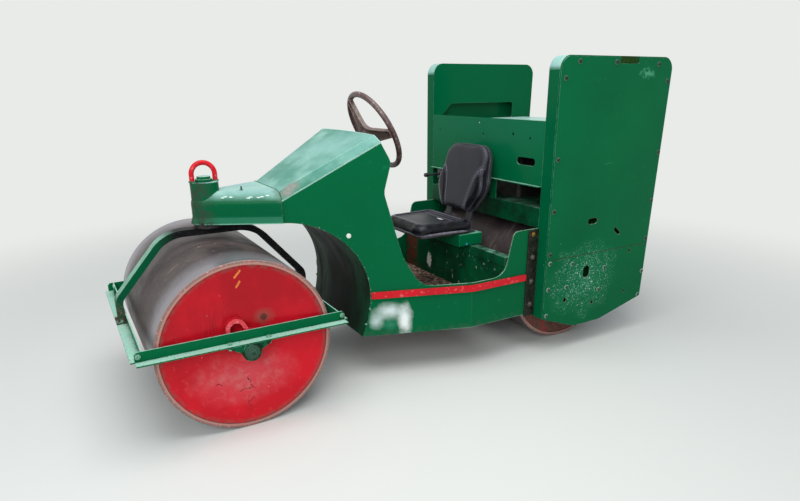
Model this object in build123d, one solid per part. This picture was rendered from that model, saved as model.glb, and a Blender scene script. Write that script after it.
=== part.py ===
"""Ride-on cricket pitch roller: two plain steel rolls, the front one steered in a ring frame.

Millimetres. The machine drives towards -X, its left side is -Y and +Z is up. The origin is on the
ground, midway along the machine's length and on its centre plane.
"""
from build123d import *
from math import atan2, cos, hypot, radians, sin, sqrt, tan
import os

os.makedirs("parts", exist_ok=True)

# clearances
seat_gap = 0.3          # between pieces that rest on each other
running_fit = 0.05      # radial, a shaft in its bore

# rolls
roll_radius = 400
roll_half_width = 520
rear_roll_half_width = 450
roll_wall = 20
roll_dish_rim = 6       # how far the end disc sits inside the shell's edge, at its rim
roll_dish_hub = 34      # the same at its hub
disc_wall = 8
hub_radius = 82
hub_depth = 120         # from the plane of the disc's rim inwards
hub_chamfer = 8
loop_radius = 46        # arched loop cast on each hub
loop_bar = 18
loop_distance = 105     # from the axle to the centre of the arch
loop_turn = 25
loop_proud = 4          # beyond the shell's edge
plug_radius = 11        # filler plug in each disc
plug_distance = 149
plug_turn = -37
plug_proud = 5
front_axle_radius = 25
rear_axle_radius = 30

# ring frame of angle iron round the front roll
frame_roll_gap_x = 37
frame_roll_gap_y = 12
angle_leg = 50
angle_wall = 6
frame_height = 437      # underside of the frame's flange
side_bar_half_length = 470
bar_chamfer = 12
hanger_boss_radius = 42
hanger_boss_proud = 6
hanger_half_length = 88
hanger_plate = 10
tow_lug_height = 60
tow_lug_width = 56
tow_lug_wall = 8
tow_hole_radius = 15

# yoke that carries the ring frame
yoke_width = 65
yoke_depth = 32
yoke_crown_gap = 22     # over the top of the roll
yoke_shoulder_x = 213
yoke_knee_height = 555
yoke_shoulder_radius = 180
yoke_knee_radius = 60
yoke_pad_half_width = 48
yoke_pad_height = 8

# swivel head and gooseneck
kingpin_radius = 30
kingpin_top = 1045
thrust_height = 22
thrust_radius = 72
neck_height = 154
neck_nose_radius = 72
neck_shoulder_radius = 66
neck_lip = 10           # how far the flank flares out at its foot
neck_lip_height = 36
head_height = 1074
head_cap_radius = 40
head_cap_height = 24
head_cap_step = 8
eye_bar_radius = 12
eye_half_width = 55
eye_top = 1175

# cowl, side panels and the guard behind the front roll
sheet = 5
panel_base_y = 130      # half-width of the flared panels, extended to the front axle
panel_flare = 0.335     # widening for each millimetre to the rear
neck_end_x = 300
panel_bottom = 241
arch_centre_x = 301
arch_centre_z = 475
arch_radius = 400
arch_foot_radius = 631
cowl_crown = 5          # of the top plate between its creases
door_sill = 500
ear_height = 745
panel_overlap = 50      # of the side panel along the case wall

# case shells on both sides of the rear roll
case_front_x = 1671
case_length = 861
rear_axle_setback = 329 # behind the cases' front edges
case_rake = 29          # how far the rear edge leans in at the bottom
case_height = 1641
case_inner_y = 541
case_outer_y = 623
case_wall = 4
case_corner_radius = 70
case_front_bottom = 222
case_low_bottom = 130
case_rear_bottom = 220
belly_front = 160       # flat of the belly, before and behind the case's middle
belly_rear = 60
belly_radius = 120
case_flange = 45        # turned-in flange that the covers are bolted to
cover_wall = 5
cover_inset = 5         # of a cover's edge inside the case's outline
cover_notch_start = 424 # behind the case's front edge
cover_notch_length = 150
cover_notch_depth = 38
cover_split = 567
window_setback = 41     # from the case's front edge
window_rear_gap = 180   # from its rear edge
window_slant = 104
window_radius = 40
window_bottom = 1284
window_top = 1388

# driver's place
floor_height = 320
footwell_setback = 221  # of the footwell's rear wall, in front of the cases
footwell_wall_top = 605
strip_height = 35
strip_wall = 12
strip_top = 487
strip_start_x = 703
strip_rear_gap = 76     # in front of the cases
joint_strip_width = 70
joint_strip_wall = 8
seat_half_width = 218
seat_taper = 25         # how much each side of the cushion narrows to the front
cushion_depth = 350
cushion_height = 66
cushion_top = 756
cushion_front_radius = 60
cushion_rear_radius = 40
seat_pan_wall = 12
pan_overhang = 50       # of the pan behind the cushion
back_lean = 14
back_height = 370
back_wall = 58
back_half_width = 208
back_foot = 85          # from the pan up to the seat back's lower edge
back_waist_radius = 110
back_shoulder_radius = 90
back_foot_radius = 40
strap_inner_y = 80
strap_outer_y = 130
lever_y = 430
lever_height = 938
lever_radius = 7
lever_length = 142      # from the back panel's plane to the end of the knob
knob_length = 32
knob_radius = 14
seat_box_setback = 83   # in front of the footwell's rear wall
seat_box_length = 160

# engine bay
back_panel_bottom = 971
back_panel_top = 1319
back_ledge = 22
engine_cover_drop = 36  # below the top of the back panel
post_inner_y = 97       # posts between the back panel and the cross plate below it
post_outer_y = 155
cross_plate_bottom = 745
cross_plate_top = 855
cross_plate_wall = 8
bay_setback = 62        # of the bay's rear wall, in front of the cases' rear edges
engine_half_width = 210
engine_height = 400
engine_front_gap = 129  # behind the cases' front edges
engine_rear_gap = 70    # in front of the bay's rear wall
rear_vents = 9
vent_width = 24
vent_share = 0.55       # of the rear panel's height

# steering
column_slope = 27.3
wheel_centre_x = 933
wheel_centre_z = 1272
wheel_radius = 213
wheel_bar_radius = 15
wheel_hub_radius = 30
wheel_dish = 42         # of the spokes' roots below the rim's plane
spoke_count = 3
spoke_wall = 7
spoke_rib_wall = 5
spoke_rib_height = 15
spoke_root_half_width = 44
spoke_tip_half_width = 19
spoke_fillet = 100
hub_height = 24
column_radius = 22
shaft_radius = 10
column_length = 470
column_start = 68
column_hanger_setback = 12  # in front of the cowl's rear edge
column_hanger_drop = 105
column_hanger_half_width = 30
steering_box_half_width = 60

# the row's origin is midway between the ring frame's front edge and the cases' rear edge
frame_half_x = roll_radius + frame_roll_gap_x
frame_reach = frame_half_x + angle_leg
front_axle_x = (frame_reach - case_front_x - case_length) / 2
frame_half_y = roll_half_width + frame_roll_gap_y
rear_axle_x = case_front_x + rear_axle_setback
footwell_rear_x = case_front_x - footwell_setback
seat_front_x = footwell_rear_x - cushion_depth
bay_rear_x = case_front_x + case_length - bay_setback
bed_top = cross_plate_top
neck_bottom = 2 * roll_radius + yoke_crown_gap + yoke_depth + thrust_height
panel_rear_y = case_inner_y - seat_gap


def panel_y(x):
    """Half-width over the flared side panels at x."""
    return min(panel_base_y + panel_flare * x, panel_rear_y)


def box(x, y, z):
    """A box from three (low, high) pairs."""
    size = [high - low for low, high in (x, y, z)]
    return Pos(x[0], y[0], z[0]) * Box(*size, align=(Align.MIN, Align.MIN, Align.MIN))


def along_y(outline, low, high):
    """An X-Z outline carried from y = low to y = high."""
    return extrude(Plane.XZ.offset(-high) * outline, amount=high - low)


def along_x(outline, low, high):
    """A Y-Z outline carried from x = low to x = high."""
    return extrude(Plane.YZ.offset(low) * outline, amount=high - low)


def along_z(outline, low, high):
    """An X-Y outline carried from z = low to z = high."""
    return extrude(Plane.XY.offset(low) * outline, amount=high - low)


def rounded(points, radii):
    """A closed outline with its own radius at each corner."""
    return make_face(FilletPolyline(*points, radius=radii, close=True))


def polygon(*points):
    return make_face(Polyline(*points, close=True))


def rod(start, end, radius):
    """A round bar between two points."""
    run = Vector(*end) - Vector(*start)
    return extrude(Plane(origin=start, z_dir=run) * Circle(radius), amount=run.length)


def cylinder_y(x, z, radius, low, high):
    return along_y(Pos(x, z) * Circle(radius), low, high)


def both_sides(solid):
    """The left-hand piece and its mirror image on the right."""
    return Compound(solid.solids() + mirror(solid, about=Plane.XZ).solids())


def hub_loop():
    """Arched loop on the end of a hub, standing upright over the axle."""
    hole = loop_radius - loop_bar
    leg = loop_distance - hub_radius + loop_bar
    upper = Pos(0, loop_radius / 2) * Rectangle(2 * loop_radius, loop_radius)
    arch = (Circle(loop_radius) - Circle(hole)) & upper
    legs = Pos(0, -leg / 2) * (Rectangle(2 * loop_radius, leg) - Rectangle(2 * hole, leg))
    return Pos(0, loop_distance) * (arch + legs)


def roll(axle_x, axle_radius, half_width):
    """Shell and two dished ends of one roll, turning on its axle."""
    shell = cylinder_y(axle_x, roll_radius, roll_radius, -half_width, half_width)
    shell -= cylinder_y(axle_x, roll_radius, roll_radius - roll_wall, -half_width, half_width)
    shell = chamfer(shell.edges().filter_by(GeomType.CIRCLE).group_by(SortBy.RADIUS)[-1], 3)
    rim = roll_radius - roll_wall - seat_gap
    bore = axle_radius + running_fit
    end = half_width - roll_dish_rim
    root = half_width - roll_dish_hub
    dish = polygon(
        (bore, end),
        (hub_radius - hub_chamfer, end),
        (hub_radius, end - hub_chamfer),
        (hub_radius, root),
        (rim, end),
        (rim, end - disc_wall),
        (hub_radius, root - disc_wall),
        (hub_radius, end - hub_depth),
        (bore, end - hub_depth),
    )
    centre = Pos(axle_x, roll_radius)
    disc = Pos(axle_x, 0, roll_radius) * mirror(revolve(dish, Axis.Y), about=Plane.XZ)
    loop = centre * Rot(0, 0, loop_turn) * hub_loop()
    disc += along_y(loop, -half_width - loop_proud, disc_wall / 2 - root)
    plug_root = root + (end - root) * (plug_distance - hub_radius) / (rim - hub_radius)
    plug = centre * Rot(0, 0, plug_turn) * Pos(0, plug_distance) * Circle(plug_radius)
    disc += along_y(plug, -plug_root - plug_proud, disc_wall / 2 - plug_root)
    return shell, both_sides(disc)


def ring_frame():
    """Angle-iron bars: webs next to the roll, flanges pointing outwards."""
    low = frame_height
    web_top = low + angle_leg
    end_y = frame_half_y
    long = side_bar_half_length
    web = polygon(
        (-long, low), (long, low), (long, web_top - bar_chamfer), (long - bar_chamfer, web_top),
        (bar_chamfer - long, web_top), (-long, web_top - bar_chamfer),
    )
    side = box((-long, long), (-end_y - angle_leg, -end_y), (low, low + angle_wall))
    side += along_y(web, -end_y - angle_wall, -end_y)
    inner = end_y - seat_gap
    cross = box((-frame_reach, -frame_half_x), (-inner, inner), (low, low + angle_wall))
    cross += box((-frame_half_x - angle_wall, -frame_half_x), (-inner, inner), (low, web_top))
    ends = Compound(cross.solids() + mirror(cross, about=Plane.YZ).solids())
    return both_sides(side), ends


def hangers():
    """Brackets that hang the front axle under the side bars."""
    low = frame_height - seat_gap
    outline = polygon(
        (-hanger_half_length, low),
        (hanger_half_length, low),
        (hanger_half_length, low - hanger_plate),
        (hanger_boss_radius, roll_radius),
        (-hanger_boss_radius, roll_radius),
        (-hanger_half_length, low - hanger_plate),
    )
    near = -frame_half_y - angle_leg
    plate = along_y(outline, near, -frame_half_y)
    end = near - hanger_boss_proud
    boss = cylinder_y(0, roll_radius, hanger_boss_radius, end, -frame_half_y)
    boss &= box((-angle_leg, angle_leg), (end, 0), (0, low))
    bore = cylinder_y(0, roll_radius, front_axle_radius + running_fit, end, -frame_half_y)
    return both_sides(plate + boss - bore)


def yoke():
    """One flat bar bent over the roll, standing on the flanges of the two cross bars."""
    top = 2 * roll_radius + yoke_crown_gap + yoke_depth / 2
    foot_x = frame_half_x + angle_wall + seat_gap + yoke_depth / 2
    foot_z = frame_height + angle_wall + seat_gap
    path = FilletPolyline(
        (-foot_x, foot_z),
        (-foot_x, yoke_knee_height),
        (-yoke_shoulder_x, top),
        (yoke_shoulder_x, top),
        (foot_x, yoke_knee_height),
        (foot_x, foot_z),
        radius=[yoke_knee_radius, yoke_shoulder_radius, yoke_shoulder_radius, yoke_knee_radius],
    )
    band = offset(path, amount=yoke_depth / 2, side=Side.BOTH, closed=True)
    bar = along_y(make_face(band.edges()), -yoke_width / 2, yoke_width / 2)
    bar &= box((-frame_reach, frame_reach), (-yoke_width, yoke_width), (foot_z, neck_bottom))
    pad = box(
        (foot_x - yoke_depth / 2, frame_reach - seat_gap), (-yoke_pad_half_width, yoke_pad_half_width),
        (foot_z, foot_z + yoke_pad_height),
    )
    return bar + pad + mirror(pad, about=Plane.YZ)


def kingpin():
    top_of_yoke = 2 * roll_radius + yoke_crown_gap + yoke_depth
    base = top_of_yoke + seat_gap
    thrust = extrude(Circle(thrust_radius), thrust_height - 2 * seat_gap)
    pin = extrude(Circle(kingpin_radius), kingpin_top - base)
    return Pos(0, 0, base) * (thrust + pin)


def tow_lug():
    """Upright lug with a hole, on the right end of the front cross bar."""
    y = frame_half_y - 2 * angle_leg
    base = frame_height + angle_wall + seat_gap
    half = tow_lug_width / 2
    centre = base + tow_lug_height - half
    outline = Pos(0, (base + centre) / 2) * Rectangle(2 * half, centre - base)
    outline += Pos(0, centre) * Circle(half)
    x = -frame_half_x - angle_wall - seat_gap - tow_lug_wall
    lug = along_x(Pos(y, 0) * outline, x, x + tow_lug_wall)
    return lug - along_x(Pos(y, centre) * Circle(tow_hole_radius), x, x + tow_lug_wall)


def neck_outline(grow):
    """Plan of the gooseneck: a round nose widening to the side panels."""
    nose = neck_nose_radius + grow
    rear_y = panel_y(neck_end_x) + grow
    lean = atan2(rear_y - nose, neck_end_x)
    touch_x = -nose * sin(lean)
    touch_y = nose * cos(lean)
    rear_y = touch_y + (neck_end_x - touch_x) * tan(lean)
    flank = Polyline(
        (touch_x, -touch_y), (neck_end_x, -rear_y), (neck_end_x, rear_y), (touch_x, touch_y)
    )
    return make_face(flank + ThreePointArc((touch_x, touch_y), (-nose, 0), (touch_x, -touch_y)))


def gooseneck():
    """Neck from the cowl to the swivel head, flared at its foot and bored for the kingpin."""
    body = along_z(neck_outline(0), neck_bottom, neck_bottom + neck_height)
    top = body.edges().group_by(Axis.Z)[-1].sort_by(Axis.X)[:-1]
    body = fillet(top, neck_shoulder_radius)
    lip = loft([
        Plane.XY.offset(neck_bottom) * neck_outline(neck_lip),
        Plane.XY.offset(neck_bottom + neck_lip_height) * neck_outline(-1),
    ])
    lip &= box((-neck_end_x, neck_end_x), (-neck_end_x, neck_end_x), (0, kingpin_top))
    head_radius = eye_half_width + eye_bar_radius
    head = Pos(0, 0, neck_bottom) * extrude(Circle(head_radius), head_height - neck_bottom)
    head = fillet(head.edges().group_by(Axis.Z)[-1], 4)
    bore = Pos(0, 0, neck_bottom) * extrude(
        Circle(kingpin_radius + running_fit), kingpin_top + 1 - neck_bottom
    )
    return body + lip + head - bore


def head_cap():
    """Stepped cap on the swivel head, between the legs of the lifting eye."""
    low = extrude(Circle(head_cap_radius), head_cap_height / 2)
    high = extrude(Circle(head_cap_radius - head_cap_step), head_cap_height)
    return Pos(0, 0, head_height + seat_gap) * (low + high)


def lifting_eye():
    """Round bar bent to a U and welded on the head."""
    base = head_height + seat_gap
    spring = eye_top - eye_half_width - eye_bar_radius
    path = Line((-eye_half_width, 0, base), (-eye_half_width, 0, spring))
    path += ThreePointArc(
        (-eye_half_width, 0, spring), (0, 0, spring + eye_half_width), (eye_half_width, 0, spring)
    )
    path += Line((eye_half_width, 0, spring), (eye_half_width, 0, base))
    return sweep(Plane(origin=(-eye_half_width, 0, base), z_dir=(0, 0, 1)) * Circle(eye_bar_radius), path)


# cowl sections: x, height of the edge on the panel, and how far in and up from it the crease lies
cowl_sections = (
    (neck_end_x, 982, 45, 38),
    (767, 1246, 67, 29),
)


def cowl_section(x, edge_z, crease_in, crease_up):
    edge_y = panel_base_y + panel_flare * x
    crease_y, crease_z, crown = edge_y - crease_in, edge_z + crease_up, cowl_crown
    line = Polyline((-edge_y, edge_z), (-crease_y, crease_z))
    line += ThreePointArc((-crease_y, crease_z), (0, crease_z + crown), (crease_y, crease_z))
    line += Polyline((crease_y, crease_z), (edge_y, edge_z), (edge_y, edge_z - sheet))
    line += Line((edge_y, edge_z - sheet), (crease_y, crease_z - sheet))
    line += ThreePointArc(
        (crease_y, crease_z - sheet), (0, crease_z + crown - sheet), (-crease_y, crease_z - sheet)
    )
    line += Polyline((-crease_y, crease_z - sheet), (-edge_y, edge_z - sheet), (-edge_y, edge_z))
    return Plane.YZ.offset(x) * make_face(line)


def cowl_top():
    """Sloping top plate with bevelled shoulders, widening to the rear with the side panels."""
    return loft([cowl_section(*row) for row in cowl_sections], ruled=True)


def panel_plan(low_x, high_x, outer, inner):
    """Plan of the left side panel's sheet, or of a strip on it, between two offsets outwards."""
    rows = []
    for grow in (outer, inner):
        flare = atan2(panel_flare, 1)
        base = panel_base_y + grow / cos(flare)
        bend = (panel_rear_y + grow - base) / panel_flare
        rows.append([(x, -min(base + panel_flare * x, panel_rear_y + grow)) for x in (low_x, bend, high_x)])
    return polygon(*rows[0], *reversed(rows[1]))


# corners of the doorway from the rear ear to the knee cut-out: x, z, radius
doorway = (
    (case_front_x - 171, ear_height, 40),
    (case_front_x - 226, door_sill + 8, 90),
    (case_front_x - 311, door_sill, 60),
    (960, door_sill, 110),
    (866, 662, 300),
    (777, 1001, 90),
    (813, 1150, 60),
)


def panel_outline():
    """Side view of the side panel: arch, cowl edge, knee cut-out, door opening and rear ear."""
    (front_x, front_z), (rear_x, rear_z) = [row[:2] for row in cowl_sections]
    gap = sheet + seat_gap
    slope = (rear_z - front_z) / (rear_x - front_x)
    foot_angle = (arch_centre_z - panel_bottom) / arch_foot_radius
    foot_centre_x = arch_centre_x + arch_radius - arch_foot_radius
    foot_x = foot_centre_x + sqrt(arch_foot_radius**2 - (arch_centre_z - panel_bottom) ** 2)
    mid = (
        foot_centre_x + arch_foot_radius * cos(foot_angle / 2),
        arch_centre_z - arch_foot_radius * sin(foot_angle / 2),
    )
    start = (arch_centre_x, arch_centre_z + arch_radius)
    side = (arch_centre_x + arch_radius, arch_centre_z)
    diagonal = arch_radius * sqrt(0.5)
    end_x = case_front_x + panel_overlap
    line = ThreePointArc(start, (arch_centre_x + diagonal, arch_centre_z + diagonal), side)
    line += ThreePointArc(side, mid, (foot_x, panel_bottom))
    line += Polyline((foot_x, panel_bottom), (end_x, panel_bottom), (end_x, ear_height))
    top = (rear_x, rear_z - gap)
    corners = [row[:2] for row in doorway]
    line += FilletPolyline((end_x, ear_height), *corners, top, radius=[row[2] for row in doorway])
    line += Polyline(top, (arch_centre_x, front_z - gap + slope * (arch_centre_x - front_x)), start)
    return make_face(line)


def side_panel():
    """Left side panel, flared from the cowl to the case and straight from there on."""
    plan = panel_plan(neck_end_x + seat_gap, case_front_x + panel_overlap, 0, -sheet)
    return along_z(plan, 0, case_height) & along_y(panel_outline(), -case_outer_y, 0)


def arch_sheet(centre_x, radius, low, high):
    """Quarter of a tube round the arch, behind its centre, between two heights."""
    tube = Circle(radius + sheet) - Circle(radius)
    sector = along_y(Pos(centre_x, arch_centre_z) * tube, -case_inner_y, case_inner_y)
    return sector & box((arch_centre_x, case_front_x), (-case_inner_y, case_inner_y), (low, high))


def roll_guard():
    """Curved sheet between the side panels, behind the front roll."""
    foot_centre_x = arch_centre_x + arch_radius - arch_foot_radius
    shape = arch_sheet(arch_centre_x, arch_radius, arch_centre_z, case_height)
    shape += arch_sheet(foot_centre_x, arch_foot_radius, panel_bottom, arch_centre_z)
    return shape & between_panels(sheet + seat_gap, panel_bottom, case_height)


def between_panels(gap, low, high):
    """Everything between the inner faces of the side panels, less a gap."""
    end_x = case_front_x + panel_overlap
    slack = gap / cos(atan2(panel_flare, 1))
    rear = panel_rear_y - gap
    bend = (rear - panel_base_y + slack) / panel_flare
    front = panel_base_y + panel_flare * neck_end_x - slack
    half = [(neck_end_x, front), (bend, rear), (end_x, rear)]
    return along_z(polygon(*[(x, -y) for x, y in half], *reversed(half)), low, high)


def floor_plate():
    foot_centre_x = arch_centre_x + arch_radius - arch_foot_radius
    drop = arch_centre_z - floor_height
    front = foot_centre_x + sqrt((arch_foot_radius + sheet) ** 2 - drop**2) + seat_gap
    depth = (front, footwell_rear_x - seat_gap)
    region = box(depth, (-case_inner_y, case_inner_y), (floor_height - sheet, floor_height))
    return region & between_panels(sheet + seat_gap, 0, case_height)


def footwell_wall():
    """Cross wall in front of the rear roll, with an angle iron along its top."""
    x = footwell_rear_x
    y = panel_rear_y - sheet - seat_gap
    top = footwell_wall_top
    wall = box((x, x + sheet), (-y, y), (panel_bottom, top))
    wall += box((x, x + angle_leg), (-y, y), (top - sheet, top))
    return wall + box((x - sheet, x), (-y, y), (top - angle_leg, top))


def rubbing_strips():
    plan = panel_plan(strip_start_x, case_front_x - strip_rear_gap, strip_wall, seat_gap)
    return both_sides(along_z(plan, strip_top - strip_height, strip_top))


def joint_strips():
    """Bolted strips over the joint between side panel and case."""
    y = panel_rear_y + seat_gap
    low, high = case_front_x - seat_gap - joint_strip_width, case_front_x - seat_gap
    strip = box((low, high), (-y - joint_strip_wall, -y), (panel_bottom - 10, ear_height - 5))
    return both_sides(strip)


def case_outline(shrink):
    """Side view of a case: rounded top, raked rear edge and a belly round the drive."""
    front = case_front_x + shrink
    rear_top = case_front_x + case_length - shrink
    rear_low = rear_top - case_rake
    corner = case_corner_radius - shrink
    belly_x = (front + rear_low) / 2
    return rounded(
        [
            (front, case_front_bottom + shrink),
            (front, case_height - shrink),
            (rear_top, case_height - shrink),
            (rear_low, case_rear_bottom + shrink),
            (belly_x + belly_rear, case_low_bottom + shrink),
            (belly_x - belly_front, case_low_bottom + shrink),
        ],
        [8, corner, corner, 8, belly_radius, belly_radius],
    )


def window_outline():
    """Hand opening in the inner wall of a case, with a slanted round front end."""
    front, rear = case_front_x + window_setback, case_front_x + case_length - window_rear_gap
    low, high = window_bottom, window_top
    return rounded(
        [(front, low), (front + window_slant, high), (rear, high), (rear, low)],
        [12, window_radius, 14, 8],
    )


def case_shell():
    """Left case: inner wall, rim and turned-in flange in one, closed outside by its covers."""
    inner, outer = -case_inner_y, -case_outer_y + cover_wall + seat_gap
    body = along_y(case_outline(0), outer, inner)
    body -= along_y(case_outline(case_wall), outer + case_wall, inner - case_wall)
    body -= along_y(case_outline(case_flange), outer, outer + case_wall)
    body -= along_y(window_outline(), outer, inner)
    return body - cylinder_y(rear_axle_x, roll_radius, rear_axle_radius, outer, inner)


# holes in the covers: distance behind the case's front edge, z, long axis, short axis, turn in degrees
cover_holes = (
    (323, 461, 74, 51, 90),
    (336, 761, 74, 34, 0),
    (549, 677, 63, 20, -40),
    (168, 312, 28, 22, 90),
    (398, 256, 24, 16, 90),
    (674, 280, 18, 14, 90),
    (679, 539, 20, 16, 90),
)


def case_covers():
    """Upper and lower cover plates, bolted over the open side of each case."""
    low, high = -case_outer_y, -case_outer_y + cover_wall
    plate = along_y(case_outline(cover_inset), low, high)
    for setback, z, long_axis, short_axis, turn in cover_holes:
        hole = Pos(case_front_x + setback, z) * Rot(0, 0, turn) * SlotOverall(long_axis, short_axis)
        plate -= along_y(hole, low, high)
    notch = RectangleRounded(cover_notch_length, 2 * cover_notch_depth, cover_notch_depth / 4)
    plate -= along_y(
        Pos(case_front_x + cover_notch_start + cover_notch_length / 2, case_height) * notch, low, high
    )
    reach = box((0, 2 * case_front_x), (-case_outer_y, 0), (cover_split + seat_gap / 2, case_height))
    below = box((0, 2 * case_front_x), (-case_outer_y, 0), (0, cover_split - seat_gap / 2))
    return both_sides(plate & reach), both_sides(plate & below)


# holes in the back panel: y, z, long axis, short axis
back_holes = (
    (-405, 1098, 150, 42),
    (34, 1287, 14, 14),
    (-9, 1223, 14, 14),
    (-285, 1239, 16, 16),
    (-428, 1223, 14, 14),
    (460, 1230, 12, 12),
    (-407, 1139, 10, 10),
)


def back_panel():
    """Sheet behind the seat, folded forwards along its lower edge."""
    y = case_inner_y - seat_gap
    x = case_front_x
    panel = box((x, x + sheet), (-y, y), (back_panel_bottom, back_panel_top))
    for hole_y, hole_z, long_axis, short_axis in back_holes:
        hole = Circle(long_axis / 2) if long_axis == short_axis else SlotOverall(long_axis, short_axis)
        panel -= along_x(Pos(hole_y, hole_z) * hole, x, x + sheet)
    panel += box((x - back_ledge, x), (-y, y), (back_panel_bottom, back_panel_bottom + sheet))
    post_foot = cross_plate_top + seat_gap
    post = box((x, x + sheet), (-post_outer_y, -post_inner_y), (post_foot, back_panel_bottom))
    return panel + post + mirror(post, about=Plane.XZ)


def bay_plates():
    """Cross plates before and behind the rear roll, and the bed that lies between them."""
    y = case_inner_y - seat_gap
    front, rear = case_front_x, bay_rear_x
    low, high = cross_plate_bottom, cross_plate_top
    fore = box((front, front + cross_plate_wall), (-y, y), (low, high))
    aft = box((rear - cross_plate_wall, rear), (-y, y), (low, high))
    bed = box(
        (front + cross_plate_wall + seat_gap, rear - cross_plate_wall - seat_gap), (-y, y),
        (high - cross_plate_wall, high),
    )
    return fore, aft, bed


def engine_cover():
    y = case_inner_y - seat_gap
    length = (case_front_x + sheet + seat_gap, bay_rear_x)
    top = back_panel_top - engine_cover_drop
    return box(length, (-y, y), (top - sheet, top))


def rear_panel():
    """Rear wall of the engine bay with a row of upright vents."""
    y = case_inner_y - seat_gap
    low = cross_plate_top + seat_gap
    high = back_panel_top - engine_cover_drop - sheet - seat_gap
    panel = box((bay_rear_x - sheet, bay_rear_x), (-y, y), (low, high))
    pitch = 2 * y / (rear_vents + 1)
    slot = Rot(0, 0, 90) * SlotOverall(vent_share * (high - low), vent_width)
    for i in range(rear_vents):
        vent = Pos(-y + pitch * (i + 1), (low + high) / 2) * slot
        panel -= along_x(vent, bay_rear_x - sheet, bay_rear_x)
    return panel


def engine():
    """The engine as one block on the bed."""
    block = box(
        (case_front_x + engine_front_gap, bay_rear_x - engine_rear_gap),
        (-engine_half_width, engine_half_width),
        (bed_top + seat_gap, bed_top + seat_gap + engine_height),
    )
    return fillet(block.edges().filter_by(Axis.Z), 30)


def rear_axle():
    end = case_outer_y - cover_wall - 4 * seat_gap
    return cylinder_y(rear_axle_x, roll_radius, rear_axle_radius - running_fit, -end, end)


def front_axle():
    end = frame_half_y + angle_leg
    return cylinder_y(0, roll_radius, front_axle_radius, -end, end)


def seat_box():
    """Box under the seat, bolted on the top of the footwell wall."""
    top = cushion_top - cushion_height - seat_pan_wall - 2 * seat_gap
    front = footwell_rear_x - seat_box_setback
    solid = box(
        (front, front + seat_box_length),
        (-seat_half_width, seat_half_width),
        (footwell_wall_top + seat_gap, top),
    )
    return fillet(solid.edges().filter_by(Axis.X), 6)


def back_frame():
    """Plane of the seat back: local x to the right-hand side, local y up along the lean."""
    foot_x = seat_front_x + cushion_depth + back_wall / 2
    foot_z = cushion_top - cushion_height / 2
    lean = radians(back_lean)
    return Plane(origin=(foot_x, 0, foot_z), x_dir=(0, -1, 0), z_dir=(-cos(lean), 0, sin(lean)))


def seat_cushion():
    shape = rounded(
        [
            (seat_front_x, -seat_half_width + seat_taper), (seat_front_x + cushion_depth, -seat_half_width),
            (seat_front_x + cushion_depth, seat_half_width), (seat_front_x, seat_half_width - seat_taper),
        ],
        [cushion_front_radius, cushion_rear_radius, cushion_rear_radius, cushion_front_radius],
    )
    solid = along_z(shape, cushion_top - cushion_height, cushion_top)
    return fillet(solid.edges().group_by(Axis.Z)[-1], 18)


def back_outline(grow):
    wide = back_half_width + grow
    narrow = 0.62 * back_half_width + grow
    foot = back_foot - grow
    waist = back_foot + 0.35 * back_height
    top = back_foot + back_height + grow
    left = [(-narrow, foot), (-wide, waist), (-0.7 * wide, top)]
    right = [(-y, z) for y, z in reversed(left)]
    radii = [back_foot_radius, back_waist_radius, back_shoulder_radius]
    return rounded(left + right, radii + radii[::-1])


def seat_back():
    plane = back_frame()
    solid = extrude(plane * back_outline(0), amount=back_wall / 2)
    solid += extrude(plane * back_outline(0), amount=-(back_wall / 2 - seat_pan_wall))
    return solid


def seat_shell():
    """Pan under the cushion and moulded shell behind the seat back, joined by two straps."""
    plane = back_frame()
    start = back_wall / 2 - seat_pan_wall + seat_gap
    shell = extrude(plane.offset(-start) * back_outline(4), amount=-seat_pan_wall)
    low = cushion_top - cushion_height - seat_gap
    rear = seat_front_x + cushion_depth
    pan_y = seat_half_width - 20
    pan = box((seat_front_x + 15, rear + pan_overhang), (-pan_y, pan_y), (low - seat_pan_wall, low))
    strap_outline = polygon(
        (-strap_outer_y, -60), (-strap_inner_y, -60),
        (-strap_inner_y, back_foot + 25), (-strap_outer_y, back_foot + 25),
    )
    strap = extrude(plane.offset(-start) * strap_outline, amount=-seat_pan_wall)
    straps = strap + mirror(strap, about=Plane.XZ)
    straps -= box((0, 2 * case_front_x), (-case_inner_y, case_inner_y), (0, low - seat_pan_wall))
    return pan + shell + straps


def control_lever():
    """Hand lever on the right of the seat, bracketed to the back panel's lower fold."""
    y, z = lever_y, lever_height
    fold_x, end_x = case_front_x - back_ledge, case_front_x - lever_length
    bracket = box((fold_x, fold_x + 6), (y - 20, y + 20), (z - 28, back_panel_bottom - seat_gap))
    stem = rod((fold_x, y, z), (end_x + knob_length / 2, y, z), lever_radius)
    knob = rod((end_x + knob_length, y, z), (end_x, y, z), knob_radius)
    knob = fillet(knob.edges(), 10)
    return bracket + stem + knob


def column_point(distance):
    """Point on the steering column's axis, measured from the wheel's centre towards the driver."""
    slope = radians(column_slope)
    return (wheel_centre_x + distance * cos(slope), 0, wheel_centre_z + distance * sin(slope))


def wheel_plane(distance=0):
    slope = radians(column_slope)
    return Plane(origin=column_point(distance), x_dir=(0, 1, 0), z_dir=(cos(slope), 0, sin(slope)))


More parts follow.
